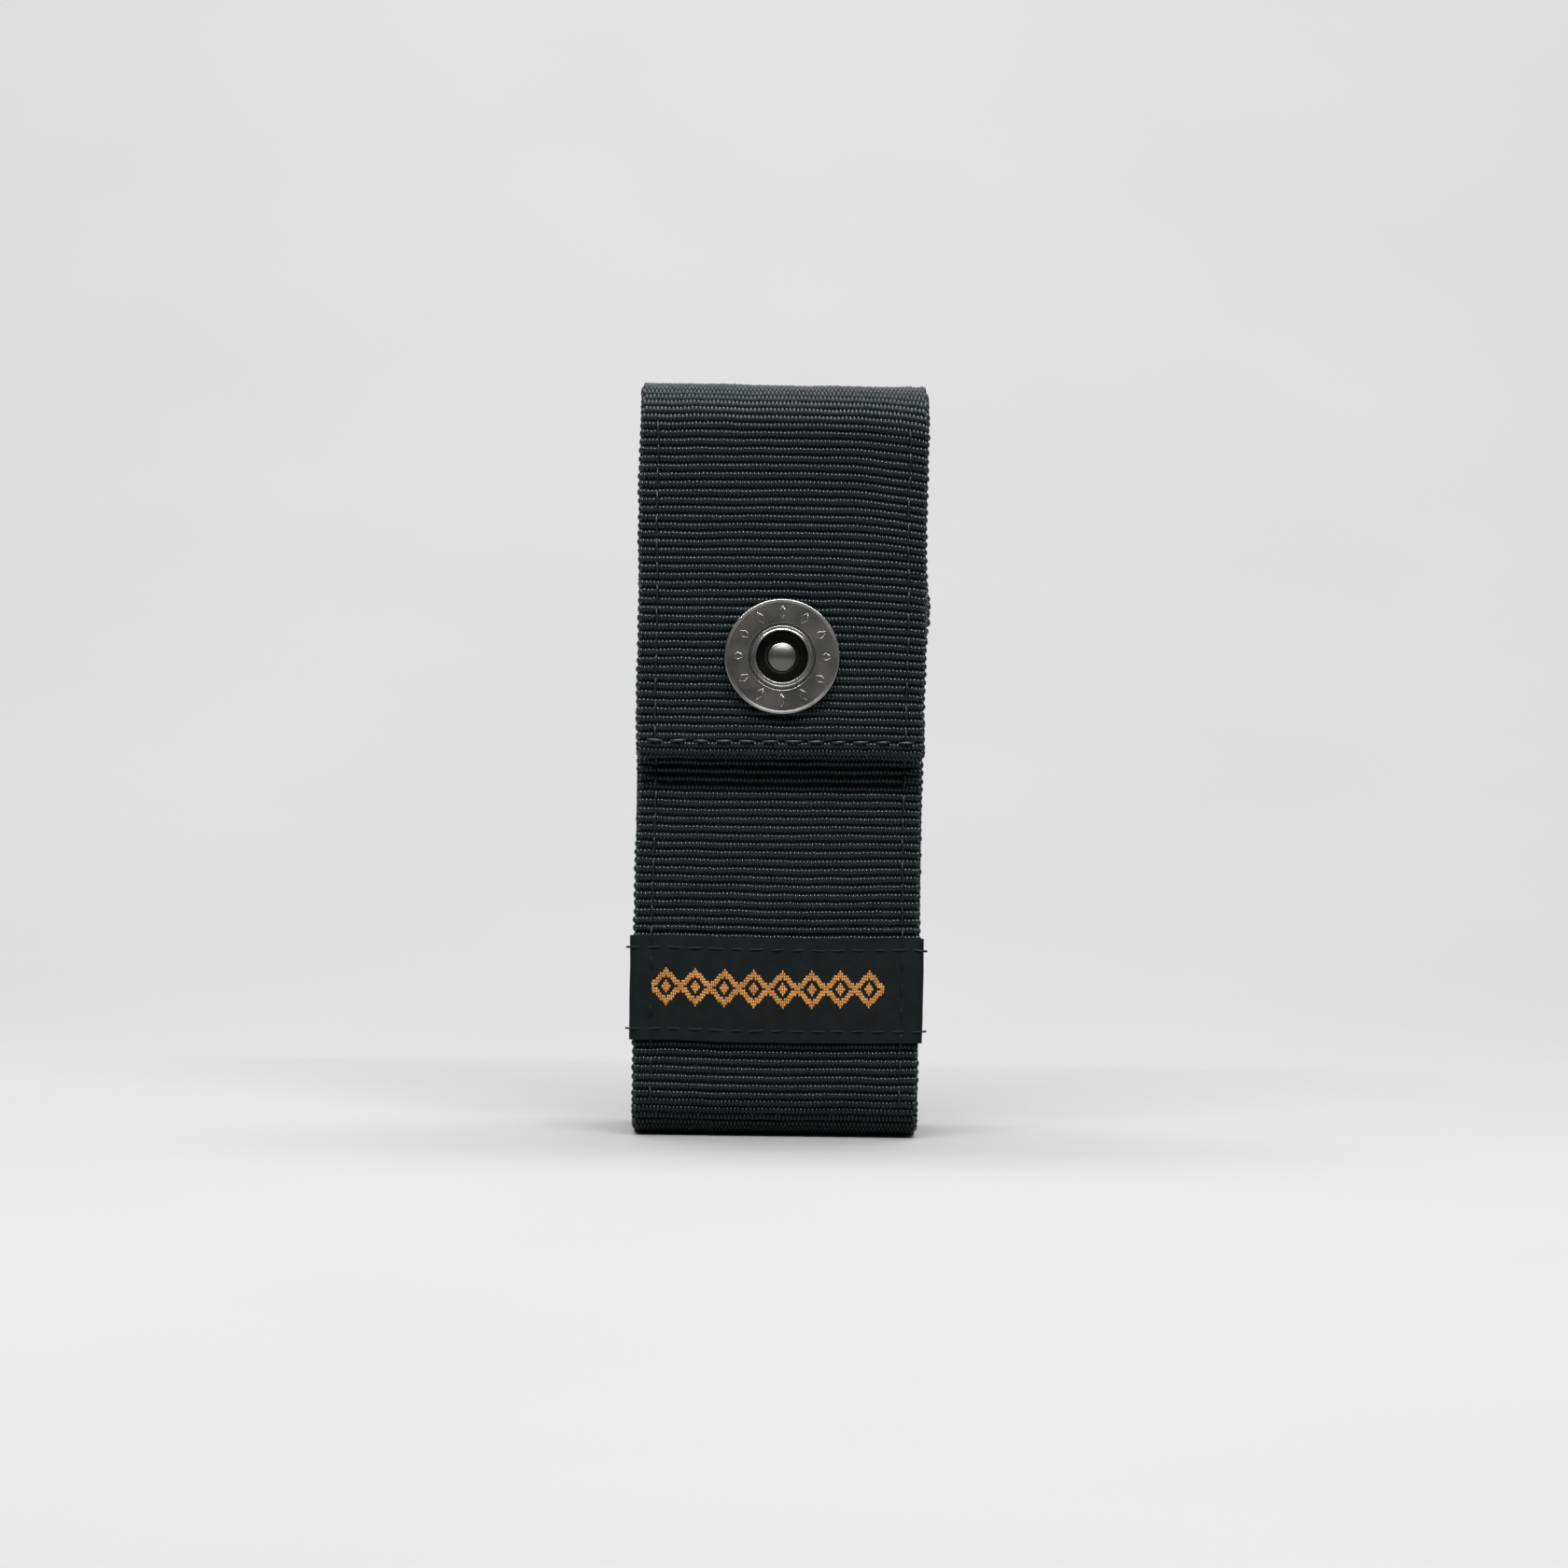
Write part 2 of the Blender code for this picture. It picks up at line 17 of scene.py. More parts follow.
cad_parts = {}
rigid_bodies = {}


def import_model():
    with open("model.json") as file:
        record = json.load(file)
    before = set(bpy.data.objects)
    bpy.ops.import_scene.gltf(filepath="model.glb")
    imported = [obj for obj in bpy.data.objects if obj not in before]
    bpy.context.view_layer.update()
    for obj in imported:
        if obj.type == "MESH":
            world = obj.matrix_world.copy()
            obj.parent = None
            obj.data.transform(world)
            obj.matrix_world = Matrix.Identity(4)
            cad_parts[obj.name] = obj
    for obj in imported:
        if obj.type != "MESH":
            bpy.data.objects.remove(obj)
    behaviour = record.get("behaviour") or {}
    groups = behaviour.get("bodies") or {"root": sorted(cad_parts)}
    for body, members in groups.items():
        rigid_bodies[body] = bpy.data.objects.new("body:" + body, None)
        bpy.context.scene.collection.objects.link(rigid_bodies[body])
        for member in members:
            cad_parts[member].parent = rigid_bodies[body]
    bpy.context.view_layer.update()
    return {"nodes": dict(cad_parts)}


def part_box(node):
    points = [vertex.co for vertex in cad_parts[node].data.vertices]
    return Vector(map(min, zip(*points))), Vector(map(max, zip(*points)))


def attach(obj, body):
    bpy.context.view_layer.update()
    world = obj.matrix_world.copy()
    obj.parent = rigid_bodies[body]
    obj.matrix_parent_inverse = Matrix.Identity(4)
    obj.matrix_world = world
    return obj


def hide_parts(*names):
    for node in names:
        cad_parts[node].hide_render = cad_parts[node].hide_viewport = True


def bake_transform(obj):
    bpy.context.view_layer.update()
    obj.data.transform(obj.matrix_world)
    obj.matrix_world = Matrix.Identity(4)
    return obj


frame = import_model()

# %% [markdown]
# ## Sizes
#
# The outer places come from the frame's own boxes. The fold radii and the weave are the maker's choices,
# so they are named here. The webbing has a thick cord across it every 1.3 mm, and fine yarns along it
# that pass over one cord and under the next.

# %% Places read from the frame
strap_low, strap_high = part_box("pouch_webbing")
flap_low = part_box("flap_front_webbing")[0]
label_low, label_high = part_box("woven_label")
ring_low, ring_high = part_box("snap_ring")
loop_low, loop_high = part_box("belt_loop")
gusset_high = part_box("gusset_right")[1]

FRONT = strap_low.y
BACK = strap_high.y
FLAP = flap_low.y
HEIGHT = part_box("flap_top_webbing")[1].z
HALF_WIDTH = strap_high.x
MOUTH = gusset_high.z
FLAP_END = flap_low.z
SNAP_Z = (ring_low.z + ring_high.z) / 2
print(f"strap {2000 * HALF_WIDTH:.1f} mm wide, sheath {1000 * HEIGHT:.1f} mm tall")

# %% Sizes of the folds, the weave and the thread
STRAP_THICK = 0.0016
LAYER_GAP = 0.0002
HEM_LENGTH = 0.0080
HEM_RADIUS = STRAP_THICK + LAYER_GAP / 2
BOTTOM_RADIUS = 0.0065
FRONT_RADIUS = 0.0080
BACK_RADIUS = 0.0065

RIB_PITCH = 0.0013
YARN_PITCH = 0.00062
SEAM_X = HALF_WIDTH - 0.0030
THREAD_RADIUS = 0.00017
STITCH_PITCH = 0.0034

# %% [markdown]
# ## The strap's path
#
# The strap is one ribbon seen edge-on as one long line. It starts inside the mouth's hem, turns down the
# front, under the bottom, up the back, over the top and down the flap, and ends inside the flap's hem.
# Straight stretches and arcs give the line once, and every row of the weave is read off it. The front,
# the top and the flap then share one even count of ribs, as one strap does.

# %% The line of the strap's outer face
ARC_STEP_DEG = 5


def arc(centre, radius, start, end):
    """Points (y, z) round an arc given in degrees, anticlockwise from +Y towards +Z."""
    count = max(2, round(abs(end - start) / ARC_STEP_DEG))
    angles = [math.radians(start + (end - start) * i / count) for i in range(count + 1)]
    return [(centre[0] + radius * math.cos(a), centre[1] + radius * math.sin(a)) for a in angles]


strap_points = [(FRONT + 2 * HEM_RADIUS, MOUTH - HEM_LENGTH)]
strap_points += arc((FRONT + HEM_RADIUS, MOUTH - HEM_RADIUS), HEM_RADIUS, 0, 180)
strap_points += arc((FRONT + BOTTOM_RADIUS, BOTTOM_RADIUS), BOTTOM_RADIUS, 180, 270)
strap_points += arc((BACK - BOTTOM_RADIUS, BOTTOM_RADIUS), BOTTOM_RADIUS, 270, 360)
strap_points += arc((BACK - BACK_RADIUS, HEIGHT - BACK_RADIUS), BACK_RADIUS, 0, 90)
strap_points += arc((FLAP + FRONT_RADIUS, HEIGHT - FRONT_RADIUS), FRONT_RADIUS, 90, 180)
strap_points += arc((FLAP + HEM_RADIUS, FLAP_END + HEM_RADIUS), HEM_RADIUS, 180, 360)
strap_points += [(FLAP + 2 * HEM_RADIUS, FLAP_END + HEM_LENGTH)]


class Line:
    """A path of (y, z) points that is read by the distance along it."""

    def __init__(self, points):
        self.points = np.array(points)
        steps = np.linalg.norm(np.diff(self.points, axis=0), axis=1)
        self.reach = np.concatenate([[0.0], np.cumsum(steps)])
        self.length = self.reach[-1]

    def at(self, distance):
        return np.array([np.interp(distance, self.reach, self.points[:, k]) for k in (0, 1)])

    def outward(self, distance):
        """The unit vector that points away from the strap, square to the line."""
        span = RIB_PITCH / 4
        along = self.at(min(distance + span, self.length)) - self.at(max(distance - span, 0.0))
        along /= np.linalg.norm(along)
        return np.array([along[1], -along[0]])

    def nearest(self, y, z):
        """The distance along the line to the place nearest to (y, z)."""
        trial = np.linspace(0, self.length, 4000)
        places = np.stack([np.interp(trial, self.reach, self.points[:, k]) for k in (0, 1)], axis=1)
        return trial[np.argmin(np.linalg.norm(places - np.array([y, z]), axis=1))]


strap = Line(strap_points)
strap_rows = round(strap.length / RIB_PITCH)
row_pitch = strap.length / strap_rows
print(f"strap line {1000 * strap.length:.0f} mm long, {strap_rows} ribs, {1000 * row_pitch:.2f} mm apart")

# %% [markdown]
# ## Shape of soft things
#
# No sewn strap is dead flat. One small wave, the same for every piece, moves all the cloth, thread and
# ribbon together, so that layers that touch still touch. It depends on the place alone, so two pieces
# that meet stay in line.

# %% A gentle unevenness for all the cloth
WAVE_SIZE = 0.00028
WAVE_SCALE = 52.0
WAVE_DEPTH_SHARE = 0.5
RIPPLE_SIZE = 0.00010
RIPPLE_SCALE = 190.0
RIPPLE_OFFSET = Vector((7.0, 3.0, 1.0))
WAVE_SEED = 5
noise.seed_set(WAVE_SEED)  # without a seed, each run would draw another wave


def unevenness(place):
    """How far a place in the cloth is pushed, as a vector of a fraction of a millimetre."""
    slow = noise.noise_vector(Vector((place.x, place.y * WAVE_DEPTH_SHARE, place.z)) * WAVE_SCALE)
    quick = noise.noise_vector(place * RIPPLE_SCALE + RIPPLE_OFFSET)
    return slow * WAVE_SIZE + quick * RIPPLE_SIZE


def limited(share):
    """A share held between none and all."""
    return min(1.0, max(0.0, share))


def soften(obj):
    """Moves every vertex by the unevenness, fading to none where the sheath stands."""
    for vertex in obj.data.vertices:
        vertex.co += unevenness(vertex.co) * limited(vertex.co.z / BOTTOM_RADIUS)


# %% [markdown]
# ## Geometry Nodes helpers
#
# A tree is easier to read when each node is one line. These helpers add a node with its settings and
# inputs, open a named input on the group, and turn a tree's result into a plain mesh.

# %% Helpers for objects and node trees


def in_scene(name, data):
    """An object at the origin that holds the data."""
    made = bpy.data.objects.new(name, data)
    bpy.context.scene.collection.objects.link(made)
    return made


def add(tree, kind, inputs=None, **settings):
    """Adds a node. An input is given by name or number, as a value or as another node's output."""
    made = tree.nodes.new(kind)
    for name, value in settings.items():
        setattr(made, name, value)
    for key, value in (inputs or {}).items():
        if isinstance(value, bpy.types.NodeSocket):
            tree.links.new(value, made.inputs[key])
        else:
            made.inputs[key].default_value = value
    return made


def out(tree, kind, inputs=None, **settings):
    """Adds a node and returns its first output."""
    return add(tree, kind, inputs, **settings).outputs[0]


def new_tree(name, inputs):
    """A geometry tree with named inputs: (tree, group input node)."""
    tree = bpy.data.node_groups.new(name, "GeometryNodeTree")
    tree.interface.new_socket(name="Geometry", in_out="INPUT", socket_type="NodeSocketGeometry")
    for label, kind in inputs.items():
        tree.interface.new_socket(name=label, in_out="INPUT", socket_type="NodeSocket" + kind)
    tree.interface.new_socket(name="Geometry", in_out="OUTPUT", socket_type="NodeSocketGeometry")
    return tree, tree.nodes.new("NodeGroupInput")


def math_node(tree, operation, first, second=0.0, third=0.0):
    return out(tree, "ShaderNodeMath", {0: first, 1: second, 2: third}, operation=operation)


def vector_node(tree, operation, first, second=(0.0, 0.0, 0.0)):
    return out(tree, "ShaderNodeVectorMath", {0: first, 1: second}, operation=operation)


def scaled(tree, vector, factor):
    return out(tree, "ShaderNodeVectorMath", {0: vector, "Scale": factor}, operation="SCALE")


def close_tree(tree, geometry, material):
    """Ends a tree in real, smooth faces of one material."""
    real = out(tree, "GeometryNodeRealizeInstances", {"Geometry": geometry})
    smooth = out(tree, "GeometryNodeSetShadeSmooth", {"Geometry": real})
    finished = out(tree, "GeometryNodeSetMaterial", {"Geometry": smooth, "Material": material})
    add(tree, "NodeGroupOutput", {0: finished})


def line_object(name, points):
    """A mesh of vertices and edges only, for a tree to follow."""
    mesh = bpy.data.meshes.new(name)
    mesh.from_pydata([tuple(p) for p in points], [(i, i + 1) for i in range(len(points) - 1)], [])
    return in_scene(name, mesh)


def plain_mesh(obj):
    """What the object's modifiers make of it, as a plain mesh."""
    bpy.context.view_layer.update()
    return bpy.data.meshes.new_from_object(obj.evaluated_get(bpy.context.evaluated_depsgraph_get()))


def grown(source, tree, values):
    """Runs a tree on an object and leaves its result, as a plain mesh, under the object's name."""
    modifier = source.modifiers.new(tree.name, "NODES")
    modifier.node_group = tree
    for item in tree.interface.items_tree:
        if item.in_out == "INPUT" and item.name in values:
            modifier[item.identifier] = values[item.name]
    mesh = plain_mesh(source)
    source.modifiers.remove(modifier)
    for label in ("along", "row"):
        if label in mesh.attributes:
            mesh.attributes.remove(mesh.attributes[label])
    source.data = mesh
    return source


# %% [markdown]
# ## Finishes
#
# Everything here is nearly black, so the finishes differ in how they shine. Nylon yarn has a soft grey
# gloss along its crests. The ribbon is smoother, and the thread is waxed. The snap is brass with a dark
# nickel plate, a little brighter where its rim is rubbed. Each finish reads Object coordinates, so that
# its pattern stays on the piece wherever the piece goes.

# %% Helpers for finishes


def finish(name, roughness, metallic=0.0):
    """A material with its Principled shader: (material, tree, shader)."""
    made = bpy.data.materials.new(name)
    made.use_nodes = True
    shader = made.node_tree.nodes["Principled BSDF"]
    tune(shader, {"Roughness": roughness, "Metallic": metallic})
    return made, made.node_tree, shader


def tune(shader, values):
    """Sets values on the shader's own sockets."""
    for name, value in values.items():
        shader.inputs[name].default_value = value


def mottled(tree, shader, tones, scale):
    """Lets the colour wander between two tones: (place, the noise that drives it)."""
    place = add(tree, "ShaderNodeTexCoord").outputs["Object"]
    grain = out(tree, "ShaderNodeTexNoise", {"Vector": place, "Scale": scale, "Detail": 3.0})
    ramp = add(tree, "ShaderNodeValToRGB", {"Fac": grain})
    for element, position, tone in zip(ramp.color_ramp.elements, (0.30, 0.70), tones):
        element.position = position
        element.color = (*tone, 1.0)
    tree.links.new(ramp.outputs["Color"], shader.inputs["Base Color"])
    return place, grain


def bumped(tree, shader, height, distance):
    bump = add(tree, "ShaderNodeBump", {"Height": height, "Distance": distance})
    tree.links.new(bump.outputs["Normal"], shader.inputs["Normal"])


# %% Yarn of every kind
GLOSS_TINT = (0.84, 0.97, 1.00, 1.0)
MOTTLE_SCALE = 900.0
FIBRE_TURN = (0.4, 0.3, 0.5)
FIBRE_STRETCH = (2.0, 1.0, 0.6)
FIBRE_DEPTH = 0.000005
WEBBING_TONES = ((0.0022, 0.0040, 0.0043), (0.0044, 0.0072, 0.0076))
CORE_TONES = ((0.0012, 0.0018, 0.0019), (0.0022, 0.0030, 0.0032))
THREAD_TONES = ((0.0026, 0.0042, 0.0044), (0.0060, 0.0082, 0.0086))
LABEL_TONES = ((0.0020, 0.0034, 0.0036), (0.0044, 0.0062, 0.0066))
INNER_TONES = ((0.0030, 0.0045, 0.0048), (0.0055, 0.0080, 0.0084))
AMBER_TONES = ((0.285, 0.115, 0.021), (0.450, 0.203, 0.047))
WEBBING_ROUGHNESS = 0.24


def yarn_finish(name, tones, roughness, gloss, fibre_scale):
    """Twisted filament yarn: two close tones, a cool gloss and fine slanting filaments."""
    made, tree, shader = finish(name, roughness)
    tune(shader, {"Specular IOR Level": gloss, "Specular Tint": GLOSS_TINT})
    place, _ = mottled(tree, shader, tones, MOTTLE_SCALE)
    slant = out(tree, "ShaderNodeMapping",
                {"Vector": place, "Rotation": FIBRE_TURN, "Scale": FIBRE_STRETCH})
    fibres = out(tree, "ShaderNodeTexNoise", {"Vector": slant, "Scale": fibre_scale})
    bumped(tree, shader, fibres, FIBRE_DEPTH)
    return made


webbing = yarn_finish("nylon webbing", WEBBING_TONES, WEBBING_ROUGHNESS, 0.29, 5200.0)
weft = yarn_finish("webbing core", CORE_TONES, 0.75, 0.50, 4200.0)
thread = yarn_finish("nylon thread", THREAD_TONES, 0.34, 0.22, 6500.0)
hem_yarn = yarn_finish("hem thread", THREAD_TONES, 0.40, 0.50, 6500.0)
label_yarn = yarn_finish("label thread", LABEL_TONES, 0.50, 0.12, 6500.0)
elastic = yarn_finish("covered elastic", INNER_TONES, 0.50, 0.22, 5200.0)
lining = yarn_finish("lining cloth", INNER_TONES, 0.60, 0.16, 5200.0)
amber = yarn_finish("amber brocade yarn", AMBER_TONES, 0.50, 0.30, 6500.0)
tune(amber.node_tree.nodes["Principled BSDF"],
     {"Sheen Weight": 0.06, "Sheen Roughness": 0.45, "Sheen Tint": (0.62, 0.72, 0.74, 1.0)})
print("yarn finishes made")

# %% [markdown]
# The webbing is rubbed matt where it rolls over the top, so its roughness rises with height there. The
# lining's weave is too fine to model, so three crossed sine waves make a bump of it.

# %% Matt top of the webbing, and the lining's weave
MATT_FROM = HEIGHT - 0.0090
MATT_TO = HEIGHT - 0.0020
MATT_ROUGHNESS = 0.58
LINING_WEAVE = 2 * math.pi / 0.0006
LINING_DEPTH = 0.00003

webbing_tree = webbing.node_tree
webbing_place = webbing_tree.nodes["Texture Coordinate"].outputs["Object"]
webbing_height = add(webbing_tree, "ShaderNodeSeparateXYZ", {0: webbing_place}).outputs[2]
worn_matt = out(webbing_tree, "ShaderNodeMapRange", {
    "Value": webbing_height, "From Min": MATT_FROM, "From Max": MATT_TO,
    "To Min": WEBBING_ROUGHNESS, "To Max": MATT_ROUGHNESS})
webbing_tree.links.new(worn_matt, webbing_tree.nodes["Principled BSDF"].inputs["Roughness"])

lining_tree = lining.node_tree
lining_place = lining_tree.nodes["Texture Coordinate"].outputs["Object"]
waves = vector_node(
    lining_tree, "SINE", vector_node(lining_tree, "MULTIPLY", lining_place, (LINING_WEAVE,) * 3))
weave_height = add(
    lining_tree, "ShaderNodeVectorMath", {0: waves, 1: (0.5, 0.5, 0.5)}, operation="DOT_PRODUCT")
bumped(lining_tree, lining_tree.nodes["Principled BSDF"], weave_height.outputs["Value"], LINING_DEPTH)

# %% Satin ribbon
RIBBON_TONES = ((0.0020, 0.0036, 0.0038), (0.0037, 0.0056, 0.0058))
SATIN_STRETCH = (3800.0, 900.0, 1300.0)
ribbon, ribbon_tree, ribbon_shader = finish("satin ribbon", 0.50)
ribbon_place, _ = mottled(ribbon_tree, ribbon_shader, RIBBON_TONES, 420.0)
satin_place = out(ribbon_tree, "ShaderNodeMapping", {"Vector": ribbon_place, "Scale": SATIN_STRETCH})
satin = out(ribbon_tree, "ShaderNodeTexNoise", {"Vector": satin_place, "Scale": 1.0, "Detail": 1.0})
bumped(ribbon_tree, ribbon_shader, satin, 0.000015)
tune(ribbon_shader, {"Specular IOR Level": 0.11})

# %% Plated metal
CLOUD_SCALE = 260.0
SCRATCH_SCALE = 3600.0
SCRATCH_DEPTH = 0.0000025


def metal_finish(name, tones, roughness):
    """Plate that is a little cloudy: the colour wanders and fine scratches break the gloss."""
    made, tree, shader = finish(name, roughness, 1.0)
    place, cloud = mottled(tree, shader, tones, CLOUD_SCALE)
    rough = out(tree, "ShaderNodeMapRange",
                {"Value": cloud, "To Min": roughness - 0.06, "To Max": roughness + 0.10})
    tree.links.new(rough, shader.inputs["Roughness"])
    scratches = out(tree, "ShaderNodeTexNoise", {"Vector": place, "Scale": SCRATCH_SCALE, "Detail": 2.0})
    bumped(tree, shader, scratches, SCRATCH_DEPTH)
    return made


nickel = metal_finish("antique nickel plate", ((0.150, 0.146, 0.142), (0.230, 0.224, 0.218)), 0.26)
rubbed = metal_finish("rubbed nickel plate", ((0.25, 0.244, 0.236), (0.34, 0.332, 0.320)), 0.24)
handled = metal_finish("handled nickel plate", ((0.120, 0.117, 0.114), (0.185, 0.181, 0.176)), 0.28)
# The socket and eyelet brass is made near-black: part of that dark is painted shade for the recess behind
# the ring's hole.
blackened_brass_and_shade = metal_finish("blackened brass and painted shade", ((0.010, 0.010, 0.010), (0.024, 0.023, 0.021)), 0.40)
steel = metal_finish("spring steel", ((0.36, 0.36, 0.37), (0.46, 0.46, 0.47)), 0.26)
print("ribbon and metal finishes made")

# %% [markdown]
# ## Woven webbing
#
# Seen close, the webbing is thousands of short yarn crests. Each crest is one small bead that arches over
# a rib, and the next rib's beads sit half a step aside. A bump map would flatten at the outline, where
# the real strap has a toothed edge. So the beads are real, and one Geometry Nodes tree lays them: it
# follows a line, puts a row across at each rib, shifts every other row and sets a bead at each crossing.
# The same tree makes the strap, the belt loop and the elastic, with other numbers.

# %% The tree that weaves
WEAVE_INPUTS = {
    "First Row": "Int",
    "Across": "Vector",
    "Width": "Float",
    "Yarns": "Int",
    "Crest Width": "Float",
    "Crest Length": "Float",
    "Crest Height": "Float",
    "Lean": "Float",
    "Knuckle": "Vector",
    "Wander": "Float",
    "Hole Centre": "Vector",
    "Hole Radius": "Float",
    "Seed": "Int",
    "Finish": "Material",
}


def build_weave():
    tree, given = new_tree("weave", WEAVE_INPUTS)
    put = given.outputs

    # The line has a point at each valley and each crest. Only the crests are kept.
    line = out(tree, "GeometryNodeMeshToCurve", {"Mesh": put["Geometry"]})
    tangent = out(tree, "GeometryNodeInputTangent")
    marked = out(tree, "GeometryNodeStoreNamedAttribute",
                 {"Geometry": line, "Name": "along", "Value": tangent},
                 data_type="FLOAT_VECTOR", domain="POINT")
    index = out(tree, "GeometryNodeInputIndex")
    valley = math_node(tree, "COMPARE", math_node(tree, "MODULO", index, 2.0), 0.0, 0.5)
    crests = out(tree, "GeometryNodeDeleteGeometry", {"Geometry": marked, "Selection": valley})
    number = math_node(tree, "ADD", index, put["First Row"])
    spine = out(tree, "GeometryNodeStoreNamedAttribute",
                {"Geometry": crests, "Name": "row", "Value": number},
                data_type="FLOAT", domain="POINT")

    # A row of points across the strap at each rib, shifted by half a yarn on every other row.
    pitch = math_node(tree, "DIVIDE", put["Width"], put["Yarns"])
    first = math_node(tree, "MULTIPLY_ADD", put["Width"], -0.5, math_node(tree, "MULTIPLY", pitch, 0.5))
    start = scaled(tree, put["Across"], first)
    step = scaled(tree, put["Across"], pitch)
    row = out(tree, "GeometryNodeMeshLine",
              {"Count": put["Yarns"], "Start Location": start, "Offset": step}, mode="OFFSET")
    rows = out(tree, "GeometryNodeInstanceOnPoints", {"Points": spine, "Instance": row})
    points = out(tree, "GeometryNodeRealizeInstances", {"Geometry": rows})
    row_at = out(tree, "GeometryNodeInputNamedAttribute", {"Name": "row"}, data_type="FLOAT")
    along = out(tree, "GeometryNodeInputNamedAttribute", {"Name": "along"}, data_type="FLOAT_VECTOR")
    side = math_node(tree, "SUBTRACT", math_node(tree, "MODULO", row_at, 2.0), 0.5)
    half_pitch = math_node(tree, "MULTIPLY", pitch, 0.5)
    shift = scaled(tree, put["Across"], math_node(tree, "MULTIPLY", side, half_pitch))

    # Ribs wander a little along the strap, and each bead has its own small shift.
    place = out(tree, "GeometryNodeInputPosition")
    wave = out(tree, "ShaderNodeTexNoise", {"Vector": place, "Scale": 160.0, "Detail": 1.0})
    drift = math_node(tree, "MULTIPLY", math_node(tree, "SUBTRACT", wave, 0.5), put["Wander"])
    draw = add(tree, "FunctionNodeRandomValue", {"Min": -0.10, "Max": 0.10, "Seed": put["Seed"]},
               data_type="FLOAT")
    jog = math_node(tree, "MULTIPLY", draw.outputs[1], put["Wander"])
    slide = scaled(tree, along, math_node(tree, "ADD", drift, jog))
    moved = out(tree, "GeometryNodeSetPosition",
                {"Geometry": points, "Offset": vector_node(tree, "ADD", shift, slide)})
    gap = add(tree, "ShaderNodeVectorMath", {0: place, 1: put["Hole Centre"]}, operation="DISTANCE")
    inside = math_node(tree, "LESS_THAN", gap.outputs["Value"], put["Hole Radius"])
    kept = out(tree, "GeometryNodeDeleteGeometry", {"Geometry": moved, "Selection": inside})

    # One bead for each crest, long along the yarn.
    ball = out(tree, "GeometryNodeMeshUVSphere", {"Segments": 6, "Rings": 4, "Radius": 0.5})
    size = out(tree, "ShaderNodeCombineXYZ",
               {0: put["Crest Width"], 1: put["Crest Height"], 2: put["Crest Length"]})
    turn = out(tree, "FunctionNodeAxesToRotation",
               {"Primary Axis": along, "Secondary Axis": put["Across"]},
               primary_axis="Z", secondary_axis="X")
    lean = out(tree, "ShaderNodeCombineXYZ", {0: put["Lean"]})
    leaned = out(tree, "FunctionNodeRotateRotation", {"Rotation": turn, "Rotate By": lean},
                 rotation_space="LOCAL")
    vary = out(tree, "FunctionNodeRandomValue", {0: (0.94, 0.90, 0.94), 1: (1.06, 1.08, 1.04)},
               data_type="FLOAT_VECTOR")
    beads = out(tree, "GeometryNodeInstanceOnPoints",
                {"Points": kept, "Instance": ball, "Rotation": leaned,
                 "Scale": vector_node(tree, "MULTIPLY", size, vary)})

    # A knuckle at each end of a rib, where the cord turns back at the strap's edge.
    across_half = scaled(tree, put["Across"], math_node(tree, "MULTIPLY", put["Width"], 0.5))
    across_back = scaled(tree, across_half, -1.0)
    ends = out(tree, "GeometryNodeMeshLine",
               {"Count": 2, "Start Location": across_back, "Offset": across_half},
               mode="END_POINTS")
    edge_rows = out(tree, "GeometryNodeInstanceOnPoints", {"Points": spine, "Instance": ends})
    edge_points = out(tree, "GeometryNodeRealizeInstances", {"Geometry": edge_rows})
    outward = vector_node(tree, "CROSS_PRODUCT", along, put["Across"])
    depth = add(tree, "ShaderNodeSeparateXYZ", {0: put["Knuckle"]}).outputs[1]
    sink = scaled(tree, outward, math_node(tree, "MULTIPLY", depth, -0.5))
    sunk = out(tree, "GeometryNodeSetPosition",
               {"Geometry": edge_points, "Offset": vector_node(tree, "ADD", sink, slide)})
    edge_vary = out(tree, "FunctionNodeRandomValue", {0: (0.85, 0.92, 0.90), 1: (1.20, 1.05, 1.08)},
                    data_type="FLOAT_VECTOR")
    round_ball = out(tree, "GeometryNodeMeshUVSphere", {"Segments": 8, "Rings": 6, "Radius": 0.5})
    knuckles = out(tree, "GeometryNodeInstanceOnPoints",
                   {"Points": sunk, "Instance": round_ball, "Rotation": turn,
                    "Scale": vector_node(tree, "MULTIPLY", put["Knuckle"], edge_vary)})
    both = add(tree, "GeometryNodeJoinGeometry")
    tree.links.new(beads, both.inputs[0])
    tree.links.new(knuckles, both.inputs[0])
    close_tree(tree, both.outputs[0], put["Finish"])
    return tree


weave_tree = build_weave()
print("weave tree:", len(weave_tree.nodes), "nodes")

# %% [markdown]
# The beads need something to lie on. The ground is the strap's own body: a closed sheet with a low round
# hump under each rib, a little inside the outer face. It shows dark between the beads, as the cross cords
# do. Its length is cut at the valleys between ribs, so that two stretches meet where nothing shows.

# %% A closed sheet of cloth along any path
ALONG_X = (1.0, 0.0, 0.0)
CLOTH_CREASE = 60


def piece_from(work, name, material, crease=None):
    """A bmesh as an object with outward faces, smooth up to the crease angle where one is given."""
    bmesh.ops.recalc_face_normals(work, faces=work.faces)
    mesh = bpy.data.meshes.new(name)
    work.to_mesh(mesh)
    work.free()
    mesh.materials.append(material)
    if crease is not None:
        mesh.shade_smooth()
        mesh.set_sharp_from_angle(angle=math.radians(crease))
    return in_scene(name, mesh)


